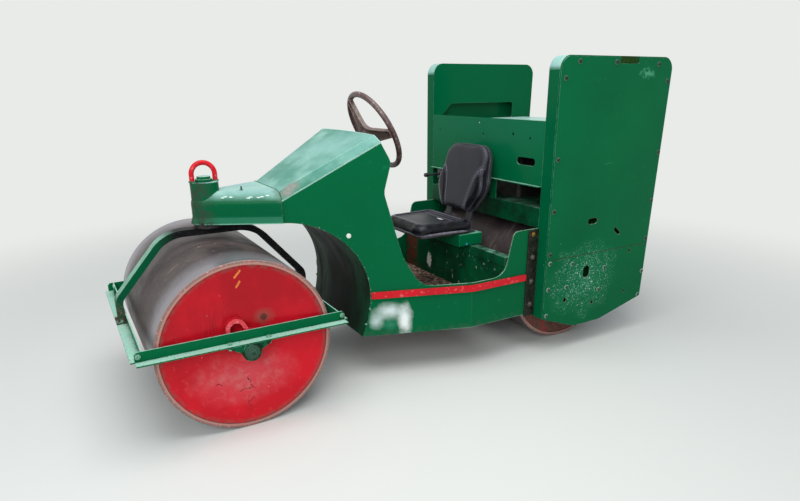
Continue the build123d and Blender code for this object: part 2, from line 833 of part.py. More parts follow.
def steering_column():
    """Tube round the steering shaft, held by a bracket under the cowl's rear edge."""
    plane = wheel_plane(-column_start)
    tube = extrude(plane * Circle(column_radius), amount=-column_length)
    tube -= extrude(plane * Circle(shaft_radius + running_fit), amount=-column_length)
    (front_x, front_z, _, front_up), (rear_x, rear_z, _, rear_up) = cowl_sections
    slope = (rear_z + rear_up - front_z - front_up) / (rear_x - front_x)
    x = rear_x - column_hanger_setback
    top = rear_z + rear_up - slope * column_hanger_setback + cowl_crown - sheet - 2 * seat_gap
    half = column_hanger_half_width
    hanger = box((x, x + sheet), (-half, half), (wheel_centre_z - column_hanger_drop, top))
    hanger -= extrude(plane * Circle(shaft_radius + running_fit), amount=-column_length)
    return tube + hanger


def steering_box():
    """Closed box on the rear face of the gooseneck, at the foot of the column."""
    foot = column_point(-column_start - column_length)
    length = (neck_end_x + seat_gap, foot[0] + 30)
    half = steering_box_half_width
    solid = box(length, (-half, half), (neck_bottom + 24, neck_bottom + neck_height - 25))
    plane = wheel_plane(-column_start)
    return solid - extrude(plane * Circle(column_radius + seat_gap), amount=-column_length - seat_gap)


def spoke_outline():
    """Spokes that widen to the hub, with rounded throats between them."""
    outline = Circle(wheel_hub_radius)
    root = wheel_hub_radius / 2
    spoke = Polyline(
        (root, -spoke_root_half_width), (wheel_radius, -spoke_tip_half_width),
        (wheel_radius, spoke_tip_half_width), (root, spoke_root_half_width), close=True,
    )
    for i in range(spoke_count):
        outline += Rot(0, 0, 180 + 360 * i / spoke_count) * make_face(spoke)
    throats = outline.vertices().group_by(lambda v: round(hypot(v.X, v.Y)))[0]
    return fillet(throats, spoke_fillet)


def dished(low, high):
    """Conical layer from the hub up to the rim, between two heights at the rim."""
    foot = wheel_hub_radius
    return revolve(Plane.XZ * polygon(
        (0, low - wheel_dish), (foot, low - wheel_dish), (wheel_radius, low), (wheel_radius, high),
        (foot, high - wheel_dish), (0, high - wheel_dish),
    ), Axis.Z)


def steering_wheel():
    """Rim, three dished spokes with ribs behind them and hub, with the shaft down the column."""
    plane = wheel_plane()
    half = spoke_wall / 2
    outline = spoke_outline()
    reach = 2 * wheel_dish
    wheel = extrude(outline, reach, both=True) & dished(-half, half)
    ribs = outline - offset(outline, -spoke_rib_wall)
    ribs = extrude(ribs, reach, both=True) & Cylinder(wheel_radius - 1, 2 * reach)
    wheel += ribs & dished(-half - spoke_rib_height, half)
    wheel += Torus(wheel_radius, wheel_bar_radius)
    hub_base = 2 - column_start
    wheel += Pos(0, 0, hub_base) * extrude(Circle(wheel_hub_radius), hub_height)
    shaft = Pos(0, 0, hub_base) * extrude(Circle(shaft_radius), -column_length)
    return plane.location * wheel, plane.location * shaft


front_shell, front_ends = roll(0, front_axle_radius, roll_half_width)
rear_shell, rear_ends = roll(rear_axle_x, rear_axle_radius - running_fit, rear_roll_half_width)
frame_sides, frame_ends = ring_frame()
upper_covers, lower_covers = case_covers()
cross_plate_front, cross_plate_rear, engine_bed = bay_plates()
wheel, shaft = steering_wheel()
left_panel = side_panel()
left_case = case_shell()

nodes = {
    "front_roll_shell": front_shell,
    "front_roll_ends": front_ends,
    "rear_roll_shell": rear_shell,
    "rear_roll_ends": rear_ends,
    "ring_frame_sides": frame_sides,
    "ring_frame_ends": frame_ends,
    "axle_hangers": hangers(),
    "front_axle": front_axle(),
    "yoke": yoke(),
    "kingpin": kingpin(),
    "tow_lug": tow_lug(),
    "gooseneck": gooseneck(),
    "head_cap": head_cap(),
    "lifting_eye": lifting_eye(),
    "cowl_top": cowl_top(),
    "side_panel_left": left_panel,
    "side_panel_right": mirror(left_panel, about=Plane.XZ),
    "roll_guard": roll_guard(),
    "floor_plate": floor_plate(),
    "footwell_wall": footwell_wall(),
    "rubbing_strips": rubbing_strips(),
    "joint_strips": joint_strips(),
    "case_left": left_case,
    "case_right": mirror(left_case, about=Plane.XZ),
    "case_upper_covers": upper_covers,
    "case_lower_covers": lower_covers,
    "back_panel": back_panel(),
    "cross_plate_front": cross_plate_front,
    "cross_plate_rear": cross_plate_rear,
    "engine_bed": engine_bed,
    "engine_cover": engine_cover(),
    "rear_panel": rear_panel(),
    "engine": engine(),
    "rear_axle": rear_axle(),
    "seat_box": seat_box(),
    "seat_cushion": seat_cushion(),
    "seat_back": seat_back(),
    "seat_shell": seat_shell(),
    "control_lever": control_lever(),
    "steering_column": steering_column(),
    "steering_box": steering_box(),
    "steering_wheel": wheel,
    "steering_shaft": shaft,
}

for name, solid in nodes.items():
    export_step(Pos(front_axle_x, 0, 0) * solid, f"parts/{name}.step")
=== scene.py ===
from math import cos, exp, hypot, pi, radians, sin, tau

import bmesh
import bpy
from mathutils import Matrix, Vector, geometry, noise
from mathutils.bvhtree import BVHTree


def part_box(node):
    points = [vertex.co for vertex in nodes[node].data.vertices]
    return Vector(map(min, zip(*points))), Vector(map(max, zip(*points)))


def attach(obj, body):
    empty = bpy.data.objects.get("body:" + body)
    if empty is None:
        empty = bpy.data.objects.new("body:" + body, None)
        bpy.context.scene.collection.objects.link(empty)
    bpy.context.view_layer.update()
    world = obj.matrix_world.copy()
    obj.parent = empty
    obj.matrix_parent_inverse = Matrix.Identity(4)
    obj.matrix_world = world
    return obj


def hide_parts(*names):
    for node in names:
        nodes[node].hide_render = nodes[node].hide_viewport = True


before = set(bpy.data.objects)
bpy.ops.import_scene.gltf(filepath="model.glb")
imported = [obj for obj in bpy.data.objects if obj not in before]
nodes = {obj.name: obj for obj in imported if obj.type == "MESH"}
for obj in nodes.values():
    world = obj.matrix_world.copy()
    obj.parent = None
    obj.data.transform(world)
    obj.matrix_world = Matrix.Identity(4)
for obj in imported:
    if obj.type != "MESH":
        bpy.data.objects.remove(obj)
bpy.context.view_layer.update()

# Ride-on cricket pitch roller. Metres: -X is ahead, -Y its left side, +Z up, the ground at z = 0.
# A finish is a ground colour with layers on it, and each layer shows where its mask is 1.


# ---- Camera ---------------------------------------------------------------------------------
# Eye height at the left front of the machine, with a wide lens tipped down by a fifth of a right
# angle and shifted a little, as in the photograph.
eye = Vector((-1.6457, -2.9823, 1.4907))
turn, dip, roll = radians(29.82), radians(19.48), radians(-0.54)
camera = bpy.data.objects.new("camera", bpy.data.cameras.new("camera"))
bpy.context.scene.collection.objects.link(camera)
bpy.context.scene.camera = camera
camera.data.sensor_width = 36
camera.data.lens = 26.74
camera.data.shift_y = 0.0595
camera.matrix_world = (
    Matrix.Translation(eye) @ Matrix.Rotation(-turn, 4, "Z")
    @ Matrix.Rotation(pi / 2 - dip, 4, "X") @ Matrix.Rotation(roll, 4, "Z")
)


# ---- Studio ---------------------------------------------------------------------------------
# A pale floor that runs into a pale background, under one wide soft lamp above the machine and a
# softer one at its left front.
def linear(code):
    """An sRGB hex colour as the linear RGBA that Blender mixes."""
    parts = [int(code[i:i + 2], 16) / 255 for i in (1, 3, 5)]
    return [v / 12.92 if v <= 0.04045 else ((v + 0.055) / 1.055) ** 2.4 for v in parts] + [1]


def add(tree, kind, inputs=None, **settings):
    """One more node, with its settings, and its inputs linked or set."""
    node = tree.nodes.new(kind)
    for key, value in settings.items():
        setattr(node, key, value)
    for key, value in (inputs or {}).items():
        if isinstance(value, bpy.types.NodeSocket):
            tree.links.new(value, node.inputs[key])
        else:
            node.inputs[key].default_value = value
    return node


bpy.context.scene.view_settings.view_transform = "Standard"
backdrop, floor_paint = "#E9EBE8", "#D2D4D0"
floor_radius, fade_from, fade_to = 18, 1.6, 5.2
world = bpy.data.worlds.new("studio")
bpy.context.scene.world = world
world.use_nodes = True
tree = world.node_tree
tree.nodes.clear()
rays = add(tree, "ShaderNodeLightPath").outputs
seen = add(tree, "ShaderNodeMath", {0: rays["Is Camera Ray"], 1: rays["Is Glossy Ray"]},
           operation="ADD")
seen = add(tree, "ShaderNodeMath", {0: seen.outputs[0], 1: rays["Is Transmission Ray"]},
           operation="ADD", use_clamp=True)
fill = add(tree, "ShaderNodeBackground", {"Color": linear("#EDF3FA"), "Strength": 0.6})
sweep = add(tree, "ShaderNodeBackground", {"Color": linear(backdrop), "Strength": 1.0})
both = add(tree, "ShaderNodeMixShader", {0: seen.outputs[0], 1: fill.outputs[0],
                                         2: sweep.outputs[0]})
add(tree, "ShaderNodeOutputWorld", {"Surface": both.outputs[0]})

bm = bmesh.new()
bmesh.ops.create_circle(bm, cap_ends=True, segments=96, radius=floor_radius)
mesh = bpy.data.meshes.new("studio_floor")
bm.to_mesh(mesh)
bm.free()
floor = bpy.data.objects.new("studio_floor", mesh)
bpy.context.scene.collection.objects.link(floor)
painted = bpy.data.materials.new("matt painted board")
painted.use_nodes = True
tree = painted.node_tree
tree.nodes.clear()
place = add(tree, "ShaderNodeTexCoord").outputs["Object"]
reach = add(tree, "ShaderNodeVectorMath", {0: place}, operation="LENGTH")
far = add(tree, "ShaderNodeMapRange", {
    "Value": reach.outputs["Value"], "From Min": fade_from, "From Max": fade_to,
}, interpolation_type="SMOOTHSTEP")
matt = add(tree, "ShaderNodeBsdfDiffuse", {"Color": linear(floor_paint)})
glow = add(tree, "ShaderNodeEmission", {"Color": linear(backdrop), "Strength": 1.0})
both = add(tree, "ShaderNodeMixShader", {0: far.outputs[0], 1: matt.outputs[0], 2: glow.outputs[0]})
add(tree, "ShaderNodeOutputMaterial", {"Surface": both.outputs[0]})
mesh.materials.append(painted)

for name, place, aim, size, power in (
    ("overhead_lamp", (-0.6, -1.0, 4.4), (0.0, 0.0, 0.6), 3.6, 150),
    ("key_lamp", (-3.8, -4.6, 3.2), (0.0, 0.0, 0.7), 2.6, 140),
):
    lamp = bpy.data.lights.new(name, "AREA")
    lamp.size = size
    lamp.energy = power
    source = bpy.data.objects.new(name, lamp)
    bpy.context.scene.collection.objects.link(source)
    source.location = place
    source.rotation_euler = (Vector(aim) - Vector(place)).to_track_quat("-Z", "Y").to_euler()


# ---- Rolls ----------------------------------------------------------------------------------
# Two drums of rolled steel plate, bare outside, with dished ends in red brushed enamel round a cast
# hub. The shells are rubbed bright next to their ends and carry dried earth over the rest.
front_axle_x, rear_axle_x, axle_z = -1.0225, 0.9775, 0.4


def begin(name, colour, roughness, metallic=0.0, shine=0.5):
    """A finish before anything is laid on it: its ground colour, and where a point is on the
    machine. shine is the strength of the mirror image on it, 0.5 for a clean dielectric."""
    material = bpy.data.materials.new(name)
    material.use_nodes = True
    material.node_tree.nodes.clear()
    where = add(material.node_tree, "ShaderNodeTexCoord").outputs["Object"]
    return {
        "material": material, "tree": material.node_tree, "where": where, "colour": linear(colour),
        "roughness": roughness, "metallic": metallic, "height": 0.0, "shine": shine,
    }


def lay(work, mask, colour=None, roughness=None, metallic=None, height=None):
    """One more layer: where the mask is 1 the finish takes these values."""
    layer = {"colour": colour, "roughness": roughness, "metallic": metallic, "height": height}
    for key, value in layer.items():
        if value is None:
            continue
        kind, first, out = ("RGBA", 6, 2) if key == "colour" else ("FLOAT", 2, 0)
        if isinstance(value, str):
            value = linear(value)
        inputs = {0: mask, first: work[key], first + 1: value}
        work[key] = add(work["tree"], "ShaderNodeMix", inputs, data_type=kind).outputs[out]


def settle(work, relief=0.001, rounding=0.0015):
    """Ends a finish with its shader. relief is the depth in metres of a height of 1, and rounding
    the radius that the light finds on a sharp edge."""
    tree = work["tree"]
    normal = add(tree, "ShaderNodeBevel", {"Radius": rounding}, samples=4).outputs[0]
    if isinstance(work["height"], bpy.types.NodeSocket):
        bump = {"Height": work["height"], "Distance": relief, "Normal": normal}
        normal = add(tree, "ShaderNodeBump", bump).outputs[0]
    surface = add(tree, "ShaderNodeBsdfPrincipled", {
        "Base Color": work["colour"], "Roughness": work["roughness"], "Metallic": work["metallic"],
        "Specular IOR Level": work["shine"], "Normal": normal,
    })
    add(tree, "ShaderNodeOutputMaterial", {"Surface": surface.outputs[0]})
    return work["material"]


def masked(work, mask, within):
    """A mask kept inside another one, or as it is where that is None."""
    if within is None:
        return mask
    return add(work["tree"], "ShaderNodeMath", {0: mask, 1: within},
               operation="MULTIPLY").outputs[0]


def patches(work, size, level, edge=0.03, stretch=(1, 1, 1), offset=0.0, ragged=0.6, within=None):
    """Mask of irregular patches of about this size. A higher level leaves fewer, edge is how soft
    they end, stretch below 1 draws them out along that axis, offset picks others of the same kind,
    and within keeps them inside another mask."""
    tree = work["tree"]
    place = add(tree, "ShaderNodeMapping",
                {"Vector": work["where"], "Scale": stretch, "Location": (offset, offset, offset)})
    cloud = add(tree, "ShaderNodeTexNoise",
                {"Vector": place.outputs[0], "Scale": 1 / size, "Detail": 5, "Roughness": ragged})
    mask = add(tree, "ShaderNodeMapRange",
               {"Value": cloud.outputs[0], "From Min": level - edge, "From Max": level + edge})
    return masked(work, mask.outputs[0], within)


def specks(work, spacing, radius, share, within=None, drawn=1, turned=0):
    """Mask of round specks: one in each cell of this spacing, for this share of the cells. Drawn
    out this many times and turned from level in degrees, they are scratches."""
    tree = work["tree"]
    place = add(tree, "ShaderNodeMapping", {
        "Vector": work["where"], "Rotation": (0, radians(turned), 0), "Scale": (drawn, 1, 1),
    }, vector_type="TEXTURE")
    cells = add(tree, "ShaderNodeTexVoronoi", {"Vector": place.outputs[0], "Scale": 1 / spacing})
    draw = add(tree, "ShaderNodeSeparateColor", {0: cells.outputs["Color"]}).outputs
    size = add(tree, "ShaderNodeMath", {0: draw[1], 1: radius / spacing}, operation="MULTIPLY")
    inside = add(tree, "ShaderNodeMath", {0: cells.outputs["Distance"], 1: size.outputs[0]},
                 operation="LESS_THAN")
    chosen = add(tree, "ShaderNodeMath", {0: draw[0], 1: share}, operation="LESS_THAN")
    return masked(work, masked(work, inside.outputs[0], chosen.outputs[0]), within)


def spot(work, centre, reach, soft=0.3, ragged=0.5, grain=0.02):
    """Mask that is 1 round a place on the machine and fades out at its reach along x, y and z, with
    an outline as ragged as a grain of this size makes it."""
    tree = work["tree"]
    off = add(tree, "ShaderNodeVectorMath", {0: work["where"], 1: centre}, operation="SUBTRACT")
    off = add(tree, "ShaderNodeVectorMath", {0: off.outputs[0], 1: reach}, operation="DIVIDE")
    far = add(tree, "ShaderNodeVectorMath", {0: off.outputs[0]}, operation="LENGTH")
    cloud = add(tree, "ShaderNodeTexNoise",
                {"Vector": work["where"], "Scale": 1 / grain, "Detail": 4})
    rough = add(tree, "ShaderNodeMath", {0: cloud.outputs[0], 1: 2 * ragged,
                                         2: far.outputs["Value"]},
                operation="MULTIPLY_ADD")
    return add(tree, "ShaderNodeMapRange", {
        "Value": rough.outputs[0], "From Min": 1 + ragged, "From Max": 1 + ragged - soft,
    }).outputs[0]


def along(work, axis, start, end, scale=(1, 1, 1), shift=(0, 0, 0)):
    """Mask that rises from 0 at start to 1 at end along x, y or z, along w, the distance from the
    machine's centre plane, or along r, the distance from a y-axle."""
    tree = work["tree"]
    place = add(tree, "ShaderNodeVectorMath", {0: work["where"], 1: shift}, operation="SUBTRACT")
    place = add(tree, "ShaderNodeVectorMath", {0: place.outputs[0], 1: scale}, operation="MULTIPLY")
    if axis == "r":
        far = add(tree, "ShaderNodeVectorMath", {0: place.outputs[0]}, operation="LENGTH")
        value = far.outputs["Value"]
    else:
        number = {"x": 0, "y": 1, "z": 2, "w": 1}[axis]
        value = add(tree, "ShaderNodeSeparateXYZ", {0: place.outputs[0]}).outputs[number]
        if axis == "w":
            value = add(tree, "ShaderNodeMath", {0: value}, operation="ABSOLUTE").outputs[0]
    return add(tree, "ShaderNodeMapRange",
               {"Value": value, "From Min": start, "From Max": end}).outputs[0]


def edges(work, width, start=0.02, full=0.12):
    """Mask along sharp edges, as far in as the width."""
    tree = work["tree"]
    rounded = add(tree, "ShaderNodeBevel", {"Radius": width}, samples=4)
    plain = add(tree, "ShaderNodeNewGeometry").outputs["Normal"]
    same = add(tree, "ShaderNodeVectorMath", {0: rounded.outputs[0], 1: plain},
               operation="DOT_PRODUCT")
    return add(tree, "ShaderNodeMapRange", {
        "Value": same.outputs["Value"], "From Min": 1 - start, "From Max": 1 - full,
    }).outputs[0]


def wear(name, material):
    """Gives a CAD node its finish."""
    nodes[name].data.materials.clear()
    nodes[name].data.materials.append(material)


def bare_steel(name, axle_x, half_width, ground, rub_and_sheen, scratched):
    """Rolled steel: dark brown skin with earth and short pale scratches round the drum, rubbed to a
    smooth lavender grey beside the ends, whose edges carry old pink paint. A higher level in
    scratched leaves fewer scratches."""
    work = begin(name, ground, 0.42, metallic=0.7)
    round_it = (0.12, 1, 0.12)
    lay(work, patches(work, 0.2, 0.5, 0.12, stretch=(0.3, 1, 0.3)), "#4A4142", 0.5)
    bright = along(work, "w", half_width - 0.2, half_width - 0.06)
    lay(work, bright, rub_and_sheen, 0.36, metallic=0.85)
    earthy = along(work, "w", half_width - 0.03, half_width - 0.22)
    bloom = patches(work, 0.16, 0.5, 0.1, offset=3.1, within=earthy)
    lay(work, bloom, "#4B4141", 0.6, metallic=0.3)
    lay(work, patches(work, 0.014, 0.62, 0.04, stretch=round_it, offset=1.7, within=bloom),
        "#6C6058", 0.8, metallic=0.1, height=0.4)
    lay(work, patches(work, 0.005, scratched, 0.03, stretch=round_it, offset=5.2), "#857A72", 0.7,
        metallic=0.2)
    lay(work, patches(work, 0.003, scratched + 0.04, 0.02, stretch=(0.05, 1, 0.05), offset=7.7),
        "#B5AFAF", 0.3, metallic=0.9)
    lay(work, specks(work, 0.02, 0.0028, 0.35, within=bloom), "#B7A78F", 0.9, metallic=0.0,
        height=0.8)
    lay(work, specks(work, 0.035, 0.0022, 0.25), "#C9C2B8", 0.8, metallic=0.0)
    ring = along(work, "w", half_width - 0.0035, half_width - 0.0015)
    lay(work, ring, "#8E5F5A", 0.6, metallic=0.0)
    lay(work, patches(work, 0.03, 0.5, 0.05, offset=2.2, within=ring), "#79675D", 0.7)
    lay(work, patches(work, 0.012, 0.6, 0.02, offset=9.1, within=ring), "#B98D85", 0.6)
    inner = along(work, "r", 0.391, 0.387, scale=(1, 0, 1), shift=(axle_x, 0, axle_z))
    lay(work, masked(work, ring, inner), "#A87A70", 0.6)
    return settle(work, relief=0.0006)


def red_enamel(name, offset=0.0, deep="#B31420"):
    """Brushed red enamel, glossy, with fine white specks and a darker tone in broad clouds."""
    work = begin(name, "#CC1626", 0.28, shine=0.14)
    lay(work, patches(work, 0.2, 0.55, 0.15, offset=offset), deep, 0.32)
    lay(work, patches(work, 0.04, 0.66, 0.05, offset=4.4), "#CF2E38", 0.4)
    lay(work, specks(work, 0.035, 0.0024, 0.25), "#EAD3CC", 0.6)
    return work


for name, axle_x, half_width, ground, rub_and_sheen, scratched in (
    ("front_roll", front_axle_x, 0.52, "#584F4F", "#96929A", 0.66),
    ("rear_roll", rear_axle_x, 0.45, "#4A3C41", "#6C5F63", 0.78),
):
    plain = name.replace("_", " ")
    steel = bare_steel("bare rolled steel, " + plain, axle_x, half_width, ground, rub_and_sheen, scratched)
    wear(name + "_shell", steel)

    # glossy red, with painted shade above and a painted pale pink reflection below the hub, as
    # on a dished end; a brown halo round the filler plug, crazed patches near the ground and two
    # slanted yellow strokes high up
    work = red_enamel("brushed red enamel, " + plain, offset=axle_x)
    # painted shade in broad clouds over the upper half
    upper = along(work, "z", 0.3, 0.62)
    lay(work, patches(work, 0.14, 0.44, 0.16, stretch=(1, 1, 0.5), offset=5.5, within=upper),
        "#A5121E", 0.3)
    brush = spot(work, (axle_x - 0.12, 0, 0.52), (0.1, 9, 0.13), soft=0.6, ragged=0.3, grain=0.05)
    lay(work, patches(work, 0.006, 0.56, 0.08, stretch=(1, 1, 0.05), within=brush), "#9B1622", 0.36)
    # a painted pale pink reflection below the hub, with scratches in it
    low = spot(work, (axle_x - 0.02, 0, 0.25), (0.27, 9, 0.15), soft=1.25, ragged=0.2, grain=0.09)
    lay(work, low, "#D3545C", 0.4)
    lay(work, patches(work, 0.04, 0.56, 0.1, offset=6.0, within=low), "#C4706C", 0.55)
    lay(work, specks(work, 0.004, 0.0009, 0.1, within=low, drawn=18, turned=-15), "#DD8E8A", 0.5)
    plug = (axle_x + 0.09, 0, 0.519)
    lay(work, spot(work, plug, (0.058, 9, 0.045), soft=0.7, ragged=0.4, grain=0.03), "#96453D", 0.6)
    lay(work, spot(work, plug, (0.018, 9, 0.018), ragged=0.1), "#4E3129", 0.7)
    tree = work["tree"]
    bend_size, bend_by, crack_spacing = 22, (0.07, 0.0, 0.07), 12
    bent = add(tree, "ShaderNodeTexNoise",
               {"Vector": work["where"], "Scale": bend_size, "Detail": 5})
    bent = add(tree, "ShaderNodeVectorMath", {
        0: bent.outputs["Color"], 1: bend_by, 2: work["where"],
    }, operation="MULTIPLY_ADD")
    cells = add(tree, "ShaderNodeTexVoronoi", {"Vector": bent.outputs[0], "Scale": crack_spacing},
                feature="DISTANCE_TO_EDGE")
    crack = add(tree, "ShaderNodeMapRange", {
        "Value": cells.outputs[0], "From Min": 0.03, "From Max": 0.012,
    })
    crazed = ((-0.138, 0.26, 0.02, 0.045), (-0.02, 0.205, 0.05, 0.045), (-0.01, 0.14, 0.02, 0.05))
    for x, z, wide, high in crazed:
        near = spot(work, (axle_x + x, 0, z), (wide, 9, high), soft=0.2, ragged=0.2)
        lay(work, masked(work, crack.outputs[0], near), "#43171B", 0.7)
    strokes = [(-0.002 - 0.006 * i, 0.754 - 0.0065 * i) for i in range(5)]
    strokes += [(-0.006 - 0.005 * i, 0.704 - 0.007 * i) for i in range(4)]
    for x, z in strokes:
        lay(work, spot(work, (axle_x + x, 0, z), (0.0055, 9, 0.007), soft=0.4, ragged=0.4,
                       grain=0.006), "#D9823C", 0.6)
    loop = along(work, "w", half_width - 0.0055, half_width - 0.0015)
    # a painted highlight along the top of the hub's outer loop
    lay(work, masked(work, loop, along(work, "z", 0.46, 0.5)), "#CF3F48", 0.5)
    lay(work, patches(work, 0.01, 0.54, 0.05, within=loop), "#D9797C", 0.6)
    rim = along(work, "r", 0.356, 0.379, scale=(1, 0, 1), shift=(axle_x, 0, axle_z))
    lay(work, patches(work, 0.02, 0.47, 0.1, offset=2.0, within=rim), "#8B4A44", 0.6)
    lay(work, edges(work, 0.003), "#AE3A3D", 0.45)
    # the rear roll's ends, under the cases, brown-red from dirt and painted shade together
    if name == "rear_roll":
        lay(work, patches(work, 0.09, 0.36, 0.14, offset=1.0), "#5E3D36", 0.75)
        lay(work, patches(work, 0.02, 0.5, 0.08, offset=7.0), "#6E5347", 0.8)
    wear(name + "_ends", settle(work, relief=0.0005))

# turned steel, bright with a thin film of oil
work = begin("turned steel with oil", "#8B8780", 0.32, metallic=1.0)
lay(work, patches(work, 0.03, 0.55, 0.06), "#4C443C", 0.5)
turned = settle(work)
for name in ("front_axle", "rear_axle", "steering_shaft"):
    wear(name, turned)


# ---- Ring frame -----------------------------------------------------------------------------
# Four bars of rolled angle iron bolted into a frame round the front roll, with cast brackets that
# hold the dead axle. Green enamel, chalked to a pale mint on every upper face and chipped.
def upward(work, start=0.5, full=0.95):
    """Mask on faces that look up."""
    tree = work["tree"]
    normal = add(tree, "ShaderNodeNewGeometry").outputs["Normal"]
    rise = add(tree, "ShaderNodeSeparateXYZ", {0: normal}).outputs[2]
    return add(tree, "ShaderNodeMapRange",
               {"Value": rise, "From Min": start, "From Max": full}).outputs[0]


def crevices(work, distance, start=0.75, full=0.35):
    """Mask in inner corners and under overhangs, from ambient occlusion."""
    tree = work["tree"]
    open_air = add(tree, "ShaderNodeAmbientOcclusion", {"Distance": distance},
                   samples=4).outputs["AO"]
    return add(tree, "ShaderNodeMapRange",
               {"Value": open_air, "From Min": start, "From Max": full}).outputs[0]


def green_enamel(name, fresh="#00623A", chalk="#7FAFA0", chalked=0.6, gloss=0.16, chips=0.6,
                 specked=0.1,
                 start=0.5, full=0.95, dents=0.7):
    """Brushed green enamel over steel: gloss on upright faces, a pale layer on those that look up
    more than start, which is chalk and on some finishes also a painted reflection, with thin pale
    edges, chips down to brown primer, white specks and faint dents."""
    work = begin(name, fresh, gloss, shine=0.055)
    lay(work, patches(work, 0.5, 0.5, 0.2), "#005A35", gloss + 0.03)
    lay(work, patches(work, 0.04, 0.68, 0.05, offset=1.3), "#086A41", gloss + 0.08)
    lay(work, specks(work, 0.012, 0.0007, 0.02, drawn=24, turned=8), "#2C7C58", 0.4)
    top = upward(work, start=start, full=full)
    weak = add(work["tree"], "ShaderNodeMath", {0: top, 1: chalked},
               operation="MULTIPLY").outputs[0]
    lay(work, weak, chalk, 0.34)
    lay(work, patches(work, 0.12, 0.56, 0.12, offset=8.0, within=weak), "#93BDAF", 0.4)
    lay(work, specks(work, 0.05, 0.0026, specked), "#C9D6C6", 0.6)
    edge = edges(work, 0.0025)
    lay(work, patches(work, 0.02, 0.45, 0.1, offset=5.0, within=edge), "#6FA88F", 0.45)
    lay(work, patches(work, 0.018, chips, 0.02, offset=0.4, within=edge), "#4B3A2C", 0.75,
        height=-0.3)
    # darker green-black blotches in inner corners and under overhangs
    lay(work, patches(work, 0.06, 0.5, 0.12, within=crevices(work, 0.025)), "#16281C", 0.7)
    tree = work["tree"]
    peel_size, dent_size = 0.006, 0.16
    peel = add(tree, "ShaderNodeTexNoise",
               {"Vector": work["where"], "Scale": 1 / peel_size, "Detail": 2})
    waves = add(tree, "ShaderNodeTexNoise",
                {"Vector": work["where"], "Scale": 1 / dent_size, "Detail": 1})
    skin = add(tree, "ShaderNodeMath", {0: peel.outputs[0], 1: 0.04, 2: work["height"]},
               operation="MULTIPLY_ADD")
    work["height"] = add(tree, "ShaderNodeMath",
                         {0: waves.outputs[0], 1: dents, 2: skin.outputs[0]},
                         operation="MULTIPLY_ADD").outputs[0]
    return work


# most weathered of all: pale mint on the flanges with grit and dark specks, green on the webs
work = green_enamel("chalked green enamel on angle iron", "#00613A", "#97C8B6", chalked=0.92,
                    gloss=0.26, chips=0.55, specked=0.3)
top = upward(work)
lay(work, patches(work, 0.02, 0.6, 0.05, offset=3.3, within=top), "#B9B3A6", 0.6)
lay(work, patches(work, 0.008, 0.6, 0.03, offset=6.3, within=top), "#4E8E70", 0.5)
lay(work, specks(work, 0.018, 0.0022, 0.3, within=top), "#2E3A2E", 0.7)
frame_paint = settle(work)
for name in ("ring_frame_sides", "ring_frame_ends", "tow_lug"):
    wear(name, frame_paint)

# a rough cast skin under old grease, dull and nearly black in places
work = green_enamel("green enamel on a greasy casting", "#0A5236", "#3F8264", chalked=0.3,
                    gloss=0.35, chips=0.55)
lay(work, patches(work, 0.03, 0.52, 0.05), "#142C1E", 0.5)
casting = settle(work)
wear("axle_hangers", casting)


def piece(bm, name, material, body, crease=35):
    """A finished mesh as an object at the origin, shaded smooth up to a crease in degrees, riding
    on a body."""
    bmesh.ops.recalc_face_normals(bm, faces=bm.faces)
    mesh = bpy.data.meshes.new(name)
    bm.to_mesh(mesh)
    bm.free()
    mesh.materials.append(material)
    mesh.shade_smooth()
    mesh.set_sharp_from_angle(angle=radians(crease))
    made = bpy.data.objects.new(name, mesh)
    bpy.context.scene.collection.objects.link(made)
    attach(made, body)
    return made


def bevel(bm, geom, offset, segments, affect="EDGES"):
    """Chamfers or rounds edges or corners of a flat sheet, with the editor's own defaults."""
    return bmesh.ops.bevel(bm, geom=geom, offset=offset, segments=segments, affect=affect,
                           profile=0.5, material=-1)


def fastener(bm, centre, outward, radius, height, washer=0.0, sides=6, twist=0.0, socket=0.0):
    """A washer and a bolt head, nut or screw, standing on a face. washer is the washer's radius and
    socket that of the screw's hole."""
    base = Matrix.Translation(centre) @ Vector(outward).to_track_quat("Z", "Y").to_matrix().to_4x4()
    base = base @ Matrix.Rotation(twist, 4, "Z")
    sheet, washer_sunk, head_sunk = 0.0022, 0.0002, 0.0003
    if washer:
        place = base @ Matrix.Translation((0, 0, sheet / 2 - washer_sunk))
        made = bmesh.ops.create_cone(bm, cap_ends=True, segments=24, radius1=washer, radius2=washer,
                                     depth=sheet, matrix=place)
        rims = {edge for vert in made["verts"] for edge in vert.link_edges
                if len(edge.link_faces) == 2 and edge.calc_face_angle() > 1}
        bevel(bm, list(rims), 0.0006, segments=1)
    lift = sheet if washer else 0
    place = base @ Matrix.Translation((0, 0, lift + height / 2 - head_sunk))
    made = bmesh.ops.create_cone(bm, cap_ends=True, segments=sides, radius1=radius, radius2=radius,
                                 depth=height, matrix=place)
    verts = made["verts"]
    out = base.to_3x3() @ Vector((0, 0, 1))
    top = [face for face in {face for vert in verts for face in vert.link_faces}
           if face.normal.dot(out) > 0.9]
    rims = {edge for face in top for edge in face.edges}
    bevel(bm, list(rims), radius * 0.14, segments=2)
    if socket:
        centre_top = base @ Vector((0, 0, lift + height - head_sunk))
        cap = min(bm.faces, key=lambda f: (f.calc_center_median() - centre_top).length)
        bmesh.ops.inset_individual(bm, faces=[cap], thickness=max(radius * 0.86 - socket, 0.0005))
        cap = min(bm.faces, key=lambda f: (f.calc_center_median() - centre_top).length)
        deep = bmesh.ops.extrude_discrete_faces(bm, faces=[cap])["faces"][0]
        bmesh.ops.translate(bm, verts=deep.verts, vec=-out * height * 0.6)


# painted fasteners of the frame: chalked green over the edges, brown in the corners
work = begin("green paint on a bolt head", "#4C856A", 0.45, shine=0.2)
lay(work, patches(work, 0.006, 0.5, 0.05), "#74A58D", 0.5)
lay(work, patches(work, 0.005, 0.6, 0.03, offset=1.0), "#4A3B2C", 0.7)
lay(work, edges(work, 0.0015), "#A5C4B4", 0.5)
painted_bolt = settle(work, relief=0.0003)

